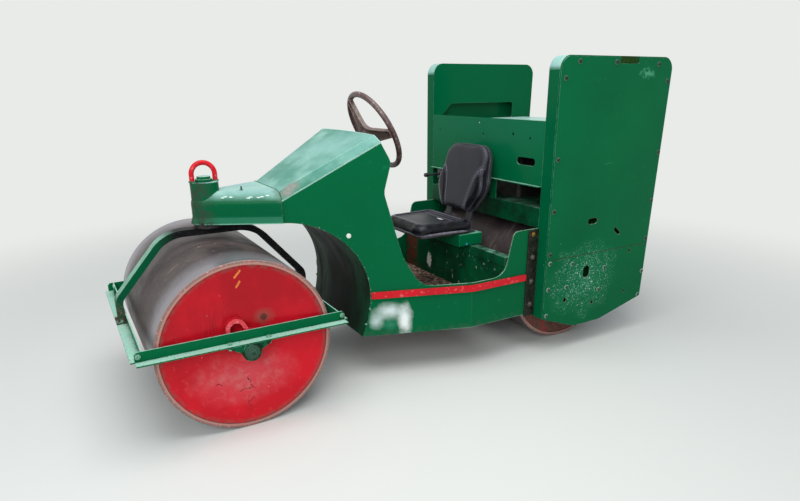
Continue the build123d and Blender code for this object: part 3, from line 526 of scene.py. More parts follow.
# round heads at the corners, bolts and nuts that hold the brackets, and bolts at the yoke's feet
flange, web = 0.05, 0.006
web_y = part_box("ring_frame_sides")[1].y - flange + web
hanger_y, foot_y = web_y + 0.019, 0.0405
pin_z, flange_top, hanger_low, foot_z = 0.467, 0.443, 0.4267, 0.4513
bm = bmesh.new()
for side in (-1, 1):
    for x in (-1.4785, -0.5665):
        fastener(bm, (x, side * web_y, pin_z), (0, side, 0), 0.0115, 0.006, sides=20)
    for x in (-1.1095, -0.9355):
        fastener(bm, (x, side * hanger_y, flange_top), (0, 0, 1), 0.011, 0.009, twist=x)
        fastener(bm, (x, side * hanger_y, hanger_low), (0, 0, -1), 0.011, 0.009, washer=0.013,
                 twist=x)
    for x in (-1.4845, -0.5605):
        fastener(bm, (x, side * foot_y, foot_z), (0, 0, 1), 0.0068, 0.008, twist=x)
piece(bm, "frame_bolts", painted_bolt, "steering_frame")

# a stepped plug with a socket in the end of each bracket, wet and dark with grease
work = begin("greasy green paint on a socket screw", "#0E4A33", 0.3)
lay(work, patches(work, 0.008, 0.5, 0.06), "#143024", 0.5)
lay(work, edges(work, 0.002), "#3E7A5E", 0.4)
greasy_screw = settle(work, relief=0.0003)
bm = bmesh.new()
boss_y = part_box("axle_hangers")[1].y
# each step: how far out it starts, radius, height, sides and the socket's radius
steps = (
    (0, 0.034, 0.004, 40, 0),
    (0.0035, 0.0245, 0.006, 36, 0),
    (0.009, 0.0165, 0.011, 28, 0.009),
)
for side in (-1, 1):
    for off, radius, height, sides, socket in steps:
        fastener(bm, (front_axle_x, side * (boss_y + off), axle_z), (0, side, 0), radius, height,
                 sides=sides, socket=socket)
piece(bm, "axle_screws", greasy_screw, "steering_frame")


# ---- Yoke and swivel ------------------------------------------------------------------------
# A flat bar bent over the roll and welded to the cross bars. Black with grease and rubber from the
# swivel down its rear leg, dark green with a chalked outer face at the front.
work = green_enamel("dark green enamel on a bent bar", "#0C4530", "#6E9F89", chalked=0.9,
                    gloss=0.35, chips=0.5, specked=0.2, start=0.3, full=0.6)
black = along(work, "x", -1.28, -1.19)
lay(work, black, "#141517", 0.42)
lay(work, patches(work, 0.02, 0.6, 0.06, offset=4.0, within=black), "#2A2827", 0.6)
low = along(work, "z", 0.56, 0.47)
lay(work, patches(work, 0.02, 0.42, 0.08, within=low), "#3F372F", 0.75)
lay(work, patches(work, 0.01, 0.56, 0.05, offset=2.0, within=low), "#6F6154", 0.8)
wear("yoke", settle(work))

# pressed out of the bearing: wet black, dull where dust has stuck to it
work = begin("black bearing grease", "#131215", 0.28)
lay(work, patches(work, 0.012, 0.55, 0.08), "#2B2422", 0.55, height=1.0)
grease = settle(work, relief=0.0015)
wear("kingpin", grease)


# ---- Gooseneck, cowl and side panels --------------------------------------------------------
# Welded steel sheet: a neck with rounded shoulders and a flared foot, a sloping cowl and two flared
# panels. Green enamel, worn brown where the neck's weld was ground, with white overspray low down.
neck_end_x = -0.7225

# bluish pale on top, a lighter band on the flared foot with a painted highlight along its lower
# edge, dirt at the swivel and white flecks in two rows
work = green_enamel("green enamel on the gooseneck", "#005737", "#8CB4B0", chalked=0.85, gloss=0.2,
                    specked=0.15, start=0.3, full=0.97)
lay(work, along(work, "z", 0.918, 0.9), "#146648", 0.3)
# a painted highlight along the foot's lower edge
lay(work, along(work, "z", 0.882, 0.878), "#6FA78F", 0.45)
front = along(work, "x", -0.985, -1.06)
lay(work, patches(work, 0.03, 0.46, 0.1, offset=2.0, within=front), "#2F4636", 0.5)
dirty = along(work, "z", 0.892, 0.882)
lay(work, patches(work, 0.02, 0.5, 0.08, offset=3.0, within=masked(work, dirty, front)),
    "#2A2A24", 0.7)
for x, y, z, long in ((-0.9645, -0.0994, 1.0026, 0.008), (-0.9525, -0.0994, 1.0066, 0.009),
                      (-0.9291, -0.1165, 1.0048, 0.01), (-0.8582, -0.1586, 0.9999, 0.008),
                      (-0.8462, -0.1586, 1.0039, 0.008), (-0.8131, -0.1799, 1.0018, 0.01),
                      (-0.7981, -0.1799, 1.0058, 0.009), (-0.7741, -0.1911, 1.0095, 0.009)):
    lay(work, spot(work, (x, y, z), (long, 0.02, 0.003), ragged=1.2, grain=0.005), "#C4D6CD", 0.5)
weld = spot(work, (neck_end_x, -0.19, 1.0), (0.035, 0.06, 0.05), soft=0.8, ragged=0.4, grain=0.03)
lay(work, weld, "#5B6F62", 0.5)
wear("gooseneck", settle(work))
wear("head_cap", frame_paint)

# chalk and a painted sheen make the top pale in broad clouds, so that the steeper bevel strip
# stays darker, with thin painted highlights along the creases and bare brown-grey where a weld
# was ground
work = green_enamel("green enamel on the cowl", "#0A6040", "#518A79", chalked=0.9, gloss=0.2,
                    chips=0.66, specked=0.08, start=0.62, full=0.78)
# the crown: chalk with painted sheen
crown = upward(work, start=0.62, full=0.78)
lay(work, patches(work, 0.3, 0.5, 0.2, stretch=(1, 0.5, 1), offset=3.0, within=crown),
    "#37786A", 0.3)
lay(work, patches(work, 0.26, 0.55, 0.16, stretch=(1, 0.4, 1), offset=6.0, within=crown),
    "#7AA8A0", 0.34)
lay(work, patches(work, 0.004, 0.66, 0.05, stretch=(0.05, 1, 0.05), offset=1.0, within=crown),
    "#6E9F91", 0.35)
# thin painted highlights along the creases
lay(work, edges(work, 0.005, start=0.003, full=0.02), "#A5CCC1", 0.35)
ground = spot(work, (-0.665, -0.215, 1.03), (0.075, 0.04, 0.06), soft=0.7, ragged=0.45, grain=0.04)
lay(work, ground, "#7C837A", 0.45)
lay(work, patches(work, 0.02, 0.55, 0.05, within=ground), "#8F8684", 0.5)
wear("cowl_top", settle(work))

# glossy, with soft white paint sprayed low on the left one, earth along the foot, chips along the
# arch and a worn pale sill
work = green_enamel("green enamel on the side panels", "#005F38", "#5FA384", chalked=0.5,
                    gloss=0.17, chips=0.58, specked=0.08)
left_only = along(work, "y", -0.1, -0.2)
lay(work, specks(work, 0.03, 0.0017, 0.25, within=along(work, "z", 0.5, 0.42)), "#C9D6C6", 0.6)
smear = spot(work, (-0.225, 0, 0.375), (0.1, 9, 0.06), soft=0.9, ragged=0.3, grain=0.04)
lay(work, masked(work, smear, left_only), "#CAD8D6", 0.45)
left_leg = spot(work, (-0.295, 0, 0.325), (0.045, 9, 0.06), soft=0.9, ragged=0.3, grain=0.03)
lay(work, masked(work, left_leg, left_only), "#B4C9C4", 0.45)
right_leg = spot(work, (-0.148, 0, 0.32), (0.045, 9, 0.115), soft=0.8, ragged=0.3, grain=0.04)
lay(work, masked(work, right_leg, left_only), "#E3EAE9", 0.45)
bare = spot(work, (-0.225, 0, 0.3), (0.05, 9, 0.045), soft=0.8, ragged=0.35)
lay(work, masked(work, bare, left_only), "#2B7A5A", 0.4)
lay(work, specks(work, 0.012, 0.0035, 0.14, within=masked(work, smear, left_only)), "#1E3A2C", 0.6)
lay(work, specks(work, 0.02, 0.0018, 0.3, within=masked(work, smear, left_only), drawn=16,
                 turned=52), "#1B3327", 0.6)
foot = along(work, "z", 0.285, 0.235)
lay(work, patches(work, 0.03, 0.52, 0.08, within=foot), "#2F5A42", 0.6)
arch = along(work, "r", 0.41, 0.401, scale=(1, 0, 1), shift=(-0.7215, 0, 0.475))
lay(work, patches(work, 0.012, 0.64, 0.02, offset=1.1, within=arch), "#9DBBA6", 0.6)
sill = masked(work, edges(work, 0.004, start=0.03, full=0.09), along(work, "x", 0.0, 0.08))
lay(work, patches(work, 0.03, 0.42, 0.08, offset=2.2, within=sill), "#B9CDBA", 0.55)
panel_paint = settle(work)
wear("side_panel_left", panel_paint)
wear("side_panel_right", panel_paint)

# the guard keeps dust and rubber in blotches, painted shade makes it almost black in the middle
# and painted light grey-green on the far side
work = green_enamel("dusty old enamel with painted light and shade", "#0D3524", "#4B6B5B", chalked=0.3, gloss=0.42,
                    chips=0.55, specked=0.05)
# painted shade, darkest in the middle
lay(work, along(work, "w", 0.36, 0.1), "#0E130F", 0.45)
# painted light on the far side
lay(work, along(work, "y", 0.12, 0.3), "#465449", 0.5)
lay(work, patches(work, 0.08, 0.56, 0.12, stretch=(1, 1, 0.4)), "#1A231C", 0.6)
lay(work, patches(work, 0.008, 0.7, 0.04), "#5D6155", 0.8)
wear("roll_guard", settle(work))

# the eye's round bar and the strips along the panels: the same red, rubbed dull and scuffed pale
work = red_enamel("brushed red enamel on a round bar", offset=2.0)
lay(work, patches(work, 0.012, 0.6, 0.04), "#8E3A33", 0.6)
lay(work, patches(work, 0.02, 0.62, 0.05, offset=5.0), "#DB5A5C", 0.5)
bar_red = settle(work)
wear("lifting_eye", bar_red)
wear("rubbing_strips", bar_red)


def tube(points, radius, name, closed=False, sides=3):
    """A round bead, cord or ring through the given points, as a mesh."""
    curve = bpy.data.curves.new(name, "CURVE")
    curve.dimensions = "3D"
    curve.bevel_depth = radius
    curve.bevel_resolution = sides
    curve.use_fill_caps = not closed
    spline = curve.splines.new("POLY")
    spline.points.add(len(points) - 1)
    for point, place in zip(spline.points, points):
        point.co = (*place, 1)
    spline.use_cyclic_u = closed
    holder = bpy.data.objects.new(name, curve)
    bpy.context.scene.collection.objects.link(holder)
    depsgraph = bpy.context.evaluated_depsgraph_get()
    mesh = bpy.data.meshes.new_from_object(holder.evaluated_get(depsgraph))
    bpy.data.objects.remove(holder)
    bpy.data.curves.remove(curve)
    bm = bmesh.new()
    bm.from_mesh(mesh)
    bpy.data.meshes.remove(mesh)
    bmesh.ops.remove_doubles(bm, verts=bm.verts, dist=1e-6)
    return bm


def weld_bead(points, radius, name, material, body, closed=False):
    """A hand-laid weld: a rounded bead with the ripples that the rod leaves."""
    ripples, depth = 160, 0.35
    bm = tube(points, radius, name, closed=closed)
    for vert in bm.verts:
        vert.co += noise.noise_vector(vert.co * ripples) * radius * depth
    piece(bm, name, material, body, crease=60)


# painted over in one go with the sheets: uneven and dull, brown in the ripples
work = begin("green enamel over a weld", "#0C5B3C", 0.4, shine=0.15)
lay(work, patches(work, 0.008, 0.56, 0.06), "#3F7E64", 0.5)
lay(work, patches(work, 0.006, 0.6, 0.04, offset=2.0), "#43392C", 0.7)
weld_paint = settle(work, relief=0.0003)
eye_x, eye_z, eye_radius = 0.055, 1.0745, 0.0135
for number, side in enumerate((-1, 1)):
    ring = [(front_axle_x + side * eye_x + eye_radius * cos(a), eye_radius * sin(a), eye_z + 0.001)
            for a in [tau * i / 24 for i in range(24)]]
    weld_bead(ring, 0.0035, f"eye_weld_{number + 1}", weld_paint, "chassis", closed=True)
# the neck's end is welded to the cowl and the panels, all round its rounded shoulders
half, top_z, shoulder, sunk, weld_x = 0.2305, 1.03, 0.066, 0.003, -0.7205
arc = [(half - shoulder + shoulder * cos(a) - sunk * cos(a),
        top_z - shoulder + (shoulder - sunk) * sin(a))
       for a in [pi / 2 * i / 10 for i in range(11)]]
seam = [(half - sunk, 0.9)] + arc
seam = [(weld_x, -y, z) for y, z in seam] + [(weld_x, y, z) for y, z in reversed(seam)]
dense = [Vector(a).lerp(Vector(b), i / 12) for a, b in zip(seam, seam[1:]) for i in range(12)]
weld_bead(dense, 0.005, "neck_weld", weld_paint, "chassis")

# a stub in the neck, and in each panel a white plug, matt and slightly stained, and two screws
bm = bmesh.new()
fastener(bm, (-0.8685, -0.087, 1.0297), (0, 0, 1), 0.0042, 0.017, washer=0.009, sides=12)
piece(bm, "neck_stub", greasy_screw, "chassis")
work = begin("off-white moulded plug", "#D5DDD2", 0.45)
lay(work, patches(work, 0.01, 0.55, 0.06), "#B9C2B4", 0.55)
plug_white = settle(work)
bm, screws = bmesh.new(), bmesh.new()
slope, panel_y_at_axle = 0.335, 0.13
flare = Vector((-slope, -1, 0)).normalized()
for side in (-1, 1):
    out = (flare.x, -side * flare.y, 0)
    fastener(bm, (-0.419, side * 0.3322, 0.794), out, 0.0128, 0.0022, sides=32)
    for x, z in ((-0.328, 0.397), (-0.349, 0.312)):
        y = side * (panel_y_at_axle + slope * (x - front_axle_x))
        fastener(screws, (x, y, z), out, 0.005, 0.003, sides=16)
piece(bm, "panel_plugs", plug_white, "chassis")
piece(screws, "panel_screws", painted_bolt, "chassis")


# ---- Driver's place -------------------------------------------------------------------------
# Sheet-steel floor and cross wall with an angle iron along its top, red rubbing strips outside, and
# bolted joint strips that are dark with grease and earth.

# matt and dark with painted shade, with paint flaked off in white spots and rust at the right end
work = green_enamel("green enamel in the footwell", "#0A4A2D", "#3F6E55", chalked=0.5, gloss=0.3,
                    chips=0.55, specked=0.5)
lay(work, patches(work, 0.1, 0.5, 0.12, offset=2.0), "#0B3B24", 0.35)
lay(work, patches(work, 0.02, 0.68, 0.02, stretch=(1, 1, 0.5), offset=6.6), "#B8C4B4", 0.6)
flake = spot(work, (0.42, 0.24, 0.41), (0.2, 0.03, 0.05), soft=0.2, ragged=0.8, grain=0.012)
lay(work, flake, "#D6DACD", 0.6)
end = along(work, "y", 0.37, 0.41)
lay(work, patches(work, 0.05, 0.42, 0.06, within=end), "#5A3527", 0.7)
wear("footwell_wall", settle(work))

# none of the sheet shows: brown chips from pale to nearly black, as coarse as bark mulch
bark = 0.014
work = begin("floor sheet under earth and bark", "#4E3A30", 0.85)
tree = work["tree"]
chips = add(tree, "ShaderNodeTexVoronoi", {"Vector": work["where"], "Scale": 1 / bark})
shade = add(tree, "ShaderNodeSeparateColor", {0: chips.outputs["Color"]}).outputs
lay(work, shade[0], "#8A6A58")
dark = add(tree, "ShaderNodeMath", {0: shade[1], 1: 0.3}, operation="LESS_THAN").outputs[0]
lay(work, dark, "#33241E")
light = add(tree, "ShaderNodeMath", {0: shade[2], 1: 0.15}, operation="LESS_THAN").outputs[0]
lay(work, light, "#B79A86")
work["height"] = chips.outputs["Distance"]
wear("floor_plate", settle(work, relief=0.004))

# nearly black and dull, with lumps of dried earth
work = begin("grease and earth on a bolted strip", "#0F110D", 0.5, shine=0.25)
lay(work, patches(work, 0.03, 0.5, 0.06, stretch=(1, 1, 0.6)), "#191E15", 0.6)
lay(work, patches(work, 0.01, 0.6, 0.04), "#4A4034", 0.8, height=0.8)
lay(work, edges(work, 0.003), "#3F4A3B", 0.6)
wear("joint_strips", settle(work))

# the top bolt was renewed and is still brassy, and the others are dull zinc with dirt on it
strip_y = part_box("joint_strips")[1].y
work = begin("brass-coloured plated bolt", "#B08A3C", 0.35, metallic=0.9)
lay(work, patches(work, 0.005, 0.55, 0.05), "#6E5A30", 0.5)
brass = settle(work, relief=0.0003)
work = begin("dirty zinc-plated bolt", "#77746A", 0.45, metallic=0.7)
lay(work, patches(work, 0.006, 0.5, 0.05), "#34302A", 0.7, metallic=0.1)
zinc = settle(work, relief=0.0003)
bm, top_bolt = bmesh.new(), bmesh.new()
for side in (-1, 1):
    fastener(top_bolt, (0.6095, side * strip_y, 0.716), (0, side, 0), 0.009, 0.007, washer=0.014,
             twist=0.3)
    for z in (0.584, 0.442, 0.303):
        fastener(bm, (0.614, side * strip_y, z), (0, side, 0), 0.0095, 0.007, washer=0.015, twist=z)
piece(bm, "joint_strip_bolts", zinc, "chassis")
piece(top_bolt, "joint_strip_top_bolts", brass, "chassis")


# ---- Steering wheel and column --------------------------------------------------------------
# One brown moulded plastic wheel, dulled by hands and dust and palest at its hub, on a steel shaft
# inside a tube. The tube and the closed gear at its foot are as greasy as the castings.
hub = (-0.0895, 0, 1.272)
work = begin("brown moulded wheel plastic", "#48322F", 0.3)
lay(work, patches(work, 0.06, 0.5, 0.1), "#554240", 0.4)
lay(work, along(work, "r", 0.19, 0.17, shift=hub), "#6C5B56", 0.45)
lay(work, patches(work, 0.02, 0.62, 0.05, offset=3.0), "#8B7B74", 0.6)
lay(work, edges(work, 0.003), "#98877F", 0.5)
wear("steering_wheel", settle(work))
wear("steering_column", casting)
wear("steering_box", casting)


# ---- Seat -----------------------------------------------------------------------------------
# Moulded black shell and pan, with a cushion and a back in black coated fabric over foam. Both are
# sewn: piped seams set the bolsters of the back off, and a raised border runs round the cushion.

# shell: satin black, rubbed grey along its edges; lever: blacker and smoother
work = begin("black moulded shell", "#2E2D31", 0.5)
lay(work, patches(work, 0.05, 0.55, 0.1), "#3A393E", 0.6)
lay(work, edges(work, 0.004), "#66656B", 0.5)
shell_black = settle(work)
work = begin("black lever plastic", "#1D1D20", 0.4)
lay(work, patches(work, 0.02, 0.55, 0.1), "#333238", 0.5)
wear("control_lever", settle(work))

# coated fabric: satin black, darker and glossier on the bolsters and the sides, with painted
# shade in the folds and a painted grey highlight, partly rubbing, on the ridges. Its grain is
# 2.5 mm, as coarse as it needs to be to show
weave = 0.0025
work = begin("black coated seat fabric", "#26262B", 0.34, shine=0.2)
lay(work, patches(work, 0.12, 0.5, 0.12), "#2B2B30", 0.4)
sewn = add(work["tree"], "ShaderNodeAttribute", attribute_name="bolster").outputs["Fac"]
lay(work, sewn, "#111116", 0.26)
bend = add(work["tree"], "ShaderNodeNewGeometry").outputs["Pointiness"]
# a painted grey highlight, partly rubbing, on the convex ridges
rub_and_sheen = add(work["tree"], "ShaderNodeMapRange",
             {"Value": bend, "From Min": 0.505, "From Max": 0.535})
lay(work, rub_and_sheen.outputs[0], "#6E6C80", 0.3)
# painted shade in the concave folds
fold_shade = add(work["tree"], "ShaderNodeMapRange",
             {"Value": bend, "From Min": 0.494, "From Max": 0.46})
lay(work, fold_shade.outputs[0], "#0B0B0E", 0.5)
grain = add(work["tree"], "ShaderNodeTexVoronoi", {"Vector": work["where"], "Scale": 1 / weave})
work["height"] = grain.outputs["Distance"]
lay(work, spot(work, (0.309, -0.062, 0.75), (0.007, 0.034, 0.03), soft=0.2, ragged=0.4, grain=0.01),
    "#D9DADC", 0.6)
vinyl = settle(work, relief=0.00025)
# the cord sewn into the seams is covered in a paler, duller cloth
work = begin("grey welt of coated fabric", "#615E67", 0.42, shine=0.25)
lay(work, patches(work, 0.02, 0.5, 0.1), "#77747D", 0.48)
welt = settle(work)


def ease(start, end, value):
    """0 at start, 1 at end, smooth between them."""
    share = min(max((value - start) / (end - start), 0), 1)
    return share * share * (3 - 2 * share)


def extent(bm):
    """The least and the greatest corner of a mesh's box."""
    places = [vert.co for vert in bm.verts]
    return [Vector([pick(place[i] for place in places) for i in range(3)]) for pick in (min, max)]


def smooth(bm, passes):
    """Evens out a pad's mesh."""
    for _ in range(passes):
        bmesh.ops.smooth_vert(bm, verts=bm.verts, factor=0.5, use_axis_x=True, use_axis_y=True,
                              use_axis_z=True)


def swollen(name, local, shrink, cap, floor_level, proud):
    """A pad blown up by cloth simulation from a copy of its CAD solid, made smaller by shrink.
    local turns the machine's frame into the pad's own, with its covered side up, and the pad stays
    above floor_level in it. No point moves further than cap, and at the end the pad reaches past
    the solid's least and greatest corner by the two vectors in proud."""
    grid, pressure, last_frame = 0.005, 4, 20
    bm = bmesh.new()
    bm.from_mesh(nodes[name].data)
    bmesh.ops.remove_doubles(bm, verts=bm.verts, dist=1e-5)
    bmesh.ops.transform(bm, matrix=local, verts=bm.verts)
    low, high = extent(bm)
    bmesh.ops.scale(bm, vec=shrink, space=Matrix.Translation(-(low + high) / 2), verts=bm.verts)
    mesh = bpy.data.meshes.new(name)
    bm.to_mesh(mesh)
    bm.free()
    holder = bpy.data.objects.new(name + "_form", mesh)
    bpy.context.scene.collection.objects.link(holder)
    remesh = holder.modifiers.new("remesh", "REMESH")
    remesh.mode, remesh.voxel_size, remesh.use_smooth_shade = "VOXEL", grid, True
    depsgraph = bpy.context.evaluated_depsgraph_get()
    start = bpy.data.meshes.new_from_object(holder.evaluated_get(depsgraph))
    holder.modifiers.clear()
    holder.data = start
    bm = bmesh.new()
    bm.from_mesh(start)
    smooth(bm, passes=4)
    bm.to_mesh(start)
    before = [vert.co.copy() for vert in bm.verts]
    bm.free()
    cloth = holder.modifiers.new("cloth", "CLOTH")
    cloth.settings.use_pressure = True
    cloth.settings.uniform_pressure_force = pressure
    cloth.settings.effector_weights.gravity = 0
    cloth.point_cache.frame_start, cloth.point_cache.frame_end = 1, last_frame
    for number in range(1, last_frame + 1):
        bpy.context.scene.frame_set(number)
    depsgraph = bpy.context.evaluated_depsgraph_get()
    blown = bpy.data.meshes.new_from_object(holder.evaluated_get(depsgraph))
    bpy.context.scene.frame_set(1)
    bm = bmesh.new()
    bm.from_mesh(blown)
    for vert, old in zip(bm.verts, before):
        move = vert.co - old
        if move.length > cap:
            vert.co = old + move * (cap / move.length)
        vert.co.z = max(vert.co.z, floor_level)
    smooth(bm, passes=24)
    bmesh.ops.subdivide_edges(bm, edges=bm.edges, cuts=1, use_grid_fill=True)
    smooth(bm, passes=2)
    bpy.data.objects.remove(holder)
    least, most = extent(bm)
    low, high = low - proud[0], high + proud[1]
    for vert in bm.verts:
        share = [(vert.co[i] - least[i]) / (most[i] - least[i]) for i in range(3)]
        vert.co = [low[i] + (high[i] - low[i]) * share[i] for i in range(3)]
        vert.co.z = max(vert.co.z, floor_level)
    return bm


# cushion, in the machine's own frame: a raised border inside a sewn channel, and a seam across the
# front of the panel that the channel goes round
cushion_low, cushion_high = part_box("seat_cushion")
front_x, rear_x = cushion_low.x, cushion_high.x
bm = swollen("seat_cushion", Matrix(), shrink=(0.95, 0.955, 0.85), cap=0.012,
             floor_level=cushion_low.z,
             proud=(Vector((0.005, 0.006, 0)), Vector((0.01, 0.006, 0.002))))


def border(x, y):
    """How far inside the cushion's outline a point is."""
    front_half, widening, corner = 0.193, 0.025, 0.06
    half = front_half + widening * (x - front_x) / (rear_x - front_x)
    off_x, off_y = min(x - front_x, rear_x - x), half - abs(y)
    if off_x < corner and off_y < corner:
        return corner - hypot(corner - off_x, corner - off_y)
    return min(off_x, off_y)


channel_in, ridge_in, cross_x = 0.044, 0.024, 0.335
side_z, lip_z, crown_z = 0.725, 0.73, 0.74
bolsters = bm.verts.layers.float.new("bolster")
for vert in bm.verts:
    inside = border(vert.co.x, vert.co.y)
    vert[bolsters] = max(ease(0.046, 0.042, inside), ease(crown_z, lip_z, vert.co.z))
    if vert.co.z > side_z:
        share = ease(side_z, crown_z, vert.co.z)
        channel = 0.0055 * exp(-((inside - channel_in) / 0.0045) ** 2)
        panel = 0.007 * ease(0.038, 0.06, inside)
        ridge = 0.004 * exp(-((inside - ridge_in) / 0.013) ** 2)
        cross = 0.004 * exp(-((vert.co.x - cross_x) / 0.005) ** 2) * ease(0.045, 0.055, inside)
        vert.co.z += (ridge - channel - panel - cross) * share
cushion = piece(bm, "cushion_cover", vinyl, "chassis", crease=70)
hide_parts("seat_cushion")

# the grey welt that closes the cushion's cover on the pan
welt_front, welt_rear, welt_z = front_x + 0.008, rear_x - 0.008, 0.696
outline = bmesh.new()
corners = [outline.verts.new((x, y, welt_z)) for x, y in (
    (welt_front, -0.186), (welt_rear, -0.211), (welt_rear, 0.211), (welt_front, 0.186))]
outline.faces.new(corners)
for vert, reach in zip(corners, (0.055, 0.036, 0.036, 0.055)):
    bevel(outline, [vert], reach, segments=8, affect="VERTICES")
outline.faces.ensure_lookup_table()
path = [vert.co.copy() for vert in outline.faces[0].verts]
outline.free()
bm = tube(path, 0.0085, "cushion_welt", closed=True, sides=4)
piece(bm, "cushion_welt", welt, "chassis", crease=60)

# back: its own frame lies in the lean of the seat, with y across and its covered side up
lean, back_foot = radians(14), (0.4565, 0, 0.723)
back_frame = Matrix.Translation(back_foot) @ Matrix((
    (sin(lean), 0, -cos(lean), 0), (0, 1, 0, 0), (cos(lean), 0, sin(lean), 0), (0, 0, 0, 1)))
bm = swollen("seat_back", back_frame.inverted(), shrink=(0.955, 0.95, 0.74), cap=0.013,
             floor_level=-0.0168,
             proud=(Vector((0.02, 0.02, 0)), Vector((0.004, 0.02, 0.006))))
for vert in bm.verts:
    vert.co.y *= 1 + 0.1 * ease(0.28, 0.4, vert.co.x)
lower_run = ((0.075, 0.093), (0.14, 0.108), (0.235, 0.126), (0.28, 0.146))
upper_run = ((0.28, 0.146), (0.303, 0.157), (0.322, 0.178), (0.332, 0.2))
seam = geometry.interpolate_bezier(*lower_run, 16)
seam += geometry.interpolate_bezier(*upper_run, 9)[1:]


def beside_seam(up, across):
    """Distance from the nearest point of the bolster's seam, and how far outside it a point is."""
    near = min(seam, key=lambda point: (point.x - up) ** 2 + (point.y - abs(across)) ** 2)
    return hypot(near.x - up, near.y - abs(across)), abs(across) - near.y + (near.x - up) * 0.3


bolsters = bm.verts.layers.float.new("bolster")
side_z, crown_z = 0.004, 0.014
for vert in bm.verts:
    gap, outside = beside_seam(vert.co.x, vert.co.y)
    dark = ease(0.0, 0.004, outside) * ease(0.34, 0.325, vert.co.x)
    vert[bolsters] = max(dark, ease(0.006, 0.0, vert.co.z))
    if vert.co.z > side_z:
        share = ease(side_z, crown_z, vert.co.z)
        channel = 0.006 * exp(-(gap / 0.005) ** 2)
        bolster = 0.007 * ease(0.0, 0.03, outside) * ease(0.36, 0.3, vert.co.x)
        vert.co.z += (bolster - channel) * share

# the piping lies on the cover, along both seams
tree_of_back = BVHTree.FromBMesh(bm)
above = 0.1
piping = []
for side in (-1, 1):
    for point in seam:
        start = Vector((point.x, side * point.y, above))
        hit = tree_of_back.ray_cast(start, Vector((0, 0, -1)))[0]
        if hit:
            piping.append((side, back_frame @ (hit + Vector((0, 0, 0.001)))))
bmesh.ops.transform(bm, matrix=back_frame, verts=bm.verts)
back = piece(bm, "back_cover", vinyl, "chassis", crease=70)
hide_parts("seat_back")
for side, word in ((-1, "left"), (1, "right")):
    bm = tube([place for which, place in piping if which == side], 0.0024, "piping", sides=3)
    piece(bm, "back_piping_" + word, welt, "chassis", crease=60)

# one black moulding behind the back, rolled over at its rim, and a flat pan under the cushion, held
# by two straps
bm = bmesh.new()


def moulding(outline, front, rear, place, rim):
    """A flat moulding between two depths, its far rim rounded over. outline has each corner and how
    far from it the rounding starts."""
    verts = [bm.verts.new((*corner, rear)) for corner, reach in outline]
    bm.faces.new(verts)
    rounded = []
    for vert, (corner, reach) in zip(verts, outline):
        rounded += bevel(bm, [vert], reach, segments=8, affect="VERTICES")["verts"]
    face = rounded[0].link_faces[0]
    made = set(face.verts)
    ring = list(face.edges)
    grown = bmesh.ops.extrude_face_region(bm, geom=[face], use_keep_orig=True)["geom"]
    moved = [item for item in grown if isinstance(item, bmesh.types.BMVert)]
    bmesh.ops.translate(bm, verts=moved, vec=(0, 0, front - rear))
    made |= set(moved)
    made |= set(bevel(bm, ring, rim, segments=4)["verts"])
    bmesh.ops.transform(bm, matrix=place, verts=[vert for vert in made if vert.is_valid])


right_half = [((0.07, 0.14), 0.035), ((0.2145, 0.228), 0.05), ((0.462, 0.172), 0.075)]
left_half = [((up, -across), reach) for (up, across), reach in reversed(right_half)]
moulding(right_half + left_half, front=-0.0172, rear=-0.045, place=back_frame, rim=0.014)
strap_corners = ((-0.044, 0.08), (0.12, 0.08), (0.12, 0.13), (-0.044, 0.13))
for side in (-1, 1):
    strap = [((up, side * across), 0.004) for up, across in strap_corners]
    moulding(strap, front=-0.0176, rear=-0.0292, place=back_frame, rim=0.002)
pan = [((0.0925, -0.198), 0.03), ((0.4775, -0.198), 0.02), ((0.4775, 0.198), 0.02),
       ((0.0925, 0.198), 0.03)]
moulding(pan, front=0.6897, rear=0.6777, place=Matrix(), rim=0.005)
shell = piece(bm, "seat_moulding", shell_black, "chassis", crease=40)
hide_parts("seat_shell")

# cleaner than the floor around it, with one spot of blue paint on its left end
work = green_enamel("green enamel on the seat box", "#006B40", "#5FA384", chalked=0.5, gloss=0.25)
lay(work, spot(work, (0.396, -0.218, 0.618), (0.007, 0.02, 0.007), soft=0.2, ragged=0.1),
    "#4C8FC4", 0.5)
wear("seat_box", settle(work))


# ---- Cases ----------------------------------------------------------------------------------
# Two tall shells of folded sheet over the drive on both sides of the rear roll, closed outside by
# two bolted cover plates each. Deep gloss green, rust at holes and seams, scuffed pale low down.

# dark gloss on the upright sides; chalk and a painted reflection make the top and its rounded
# corner pale, with a patch of moss over the edge
work = green_enamel("green enamel on the cases", "#005534", "#86ACA8", chalked=0.95, gloss=0.12,
                    chips=0.62, specked=0.12, start=0.02, full=0.28, dents=0.4)
moss = spot(work, (1.1475, 0, 1.62), (0.1, 9, 0.045), soft=0.4, ragged=0.3)
moss = masked(work, moss, along(work, "w", 0.585, 0.6))
lay(work, moss, "#1F3A17", 0.9)
lay(work, patches(work, 0.01, 0.58, 0.06, within=moss), "#33501F", 0.9, height=1.0)
case_paint = settle(work)
wear("case_left", case_paint)
wear("case_right", case_paint)

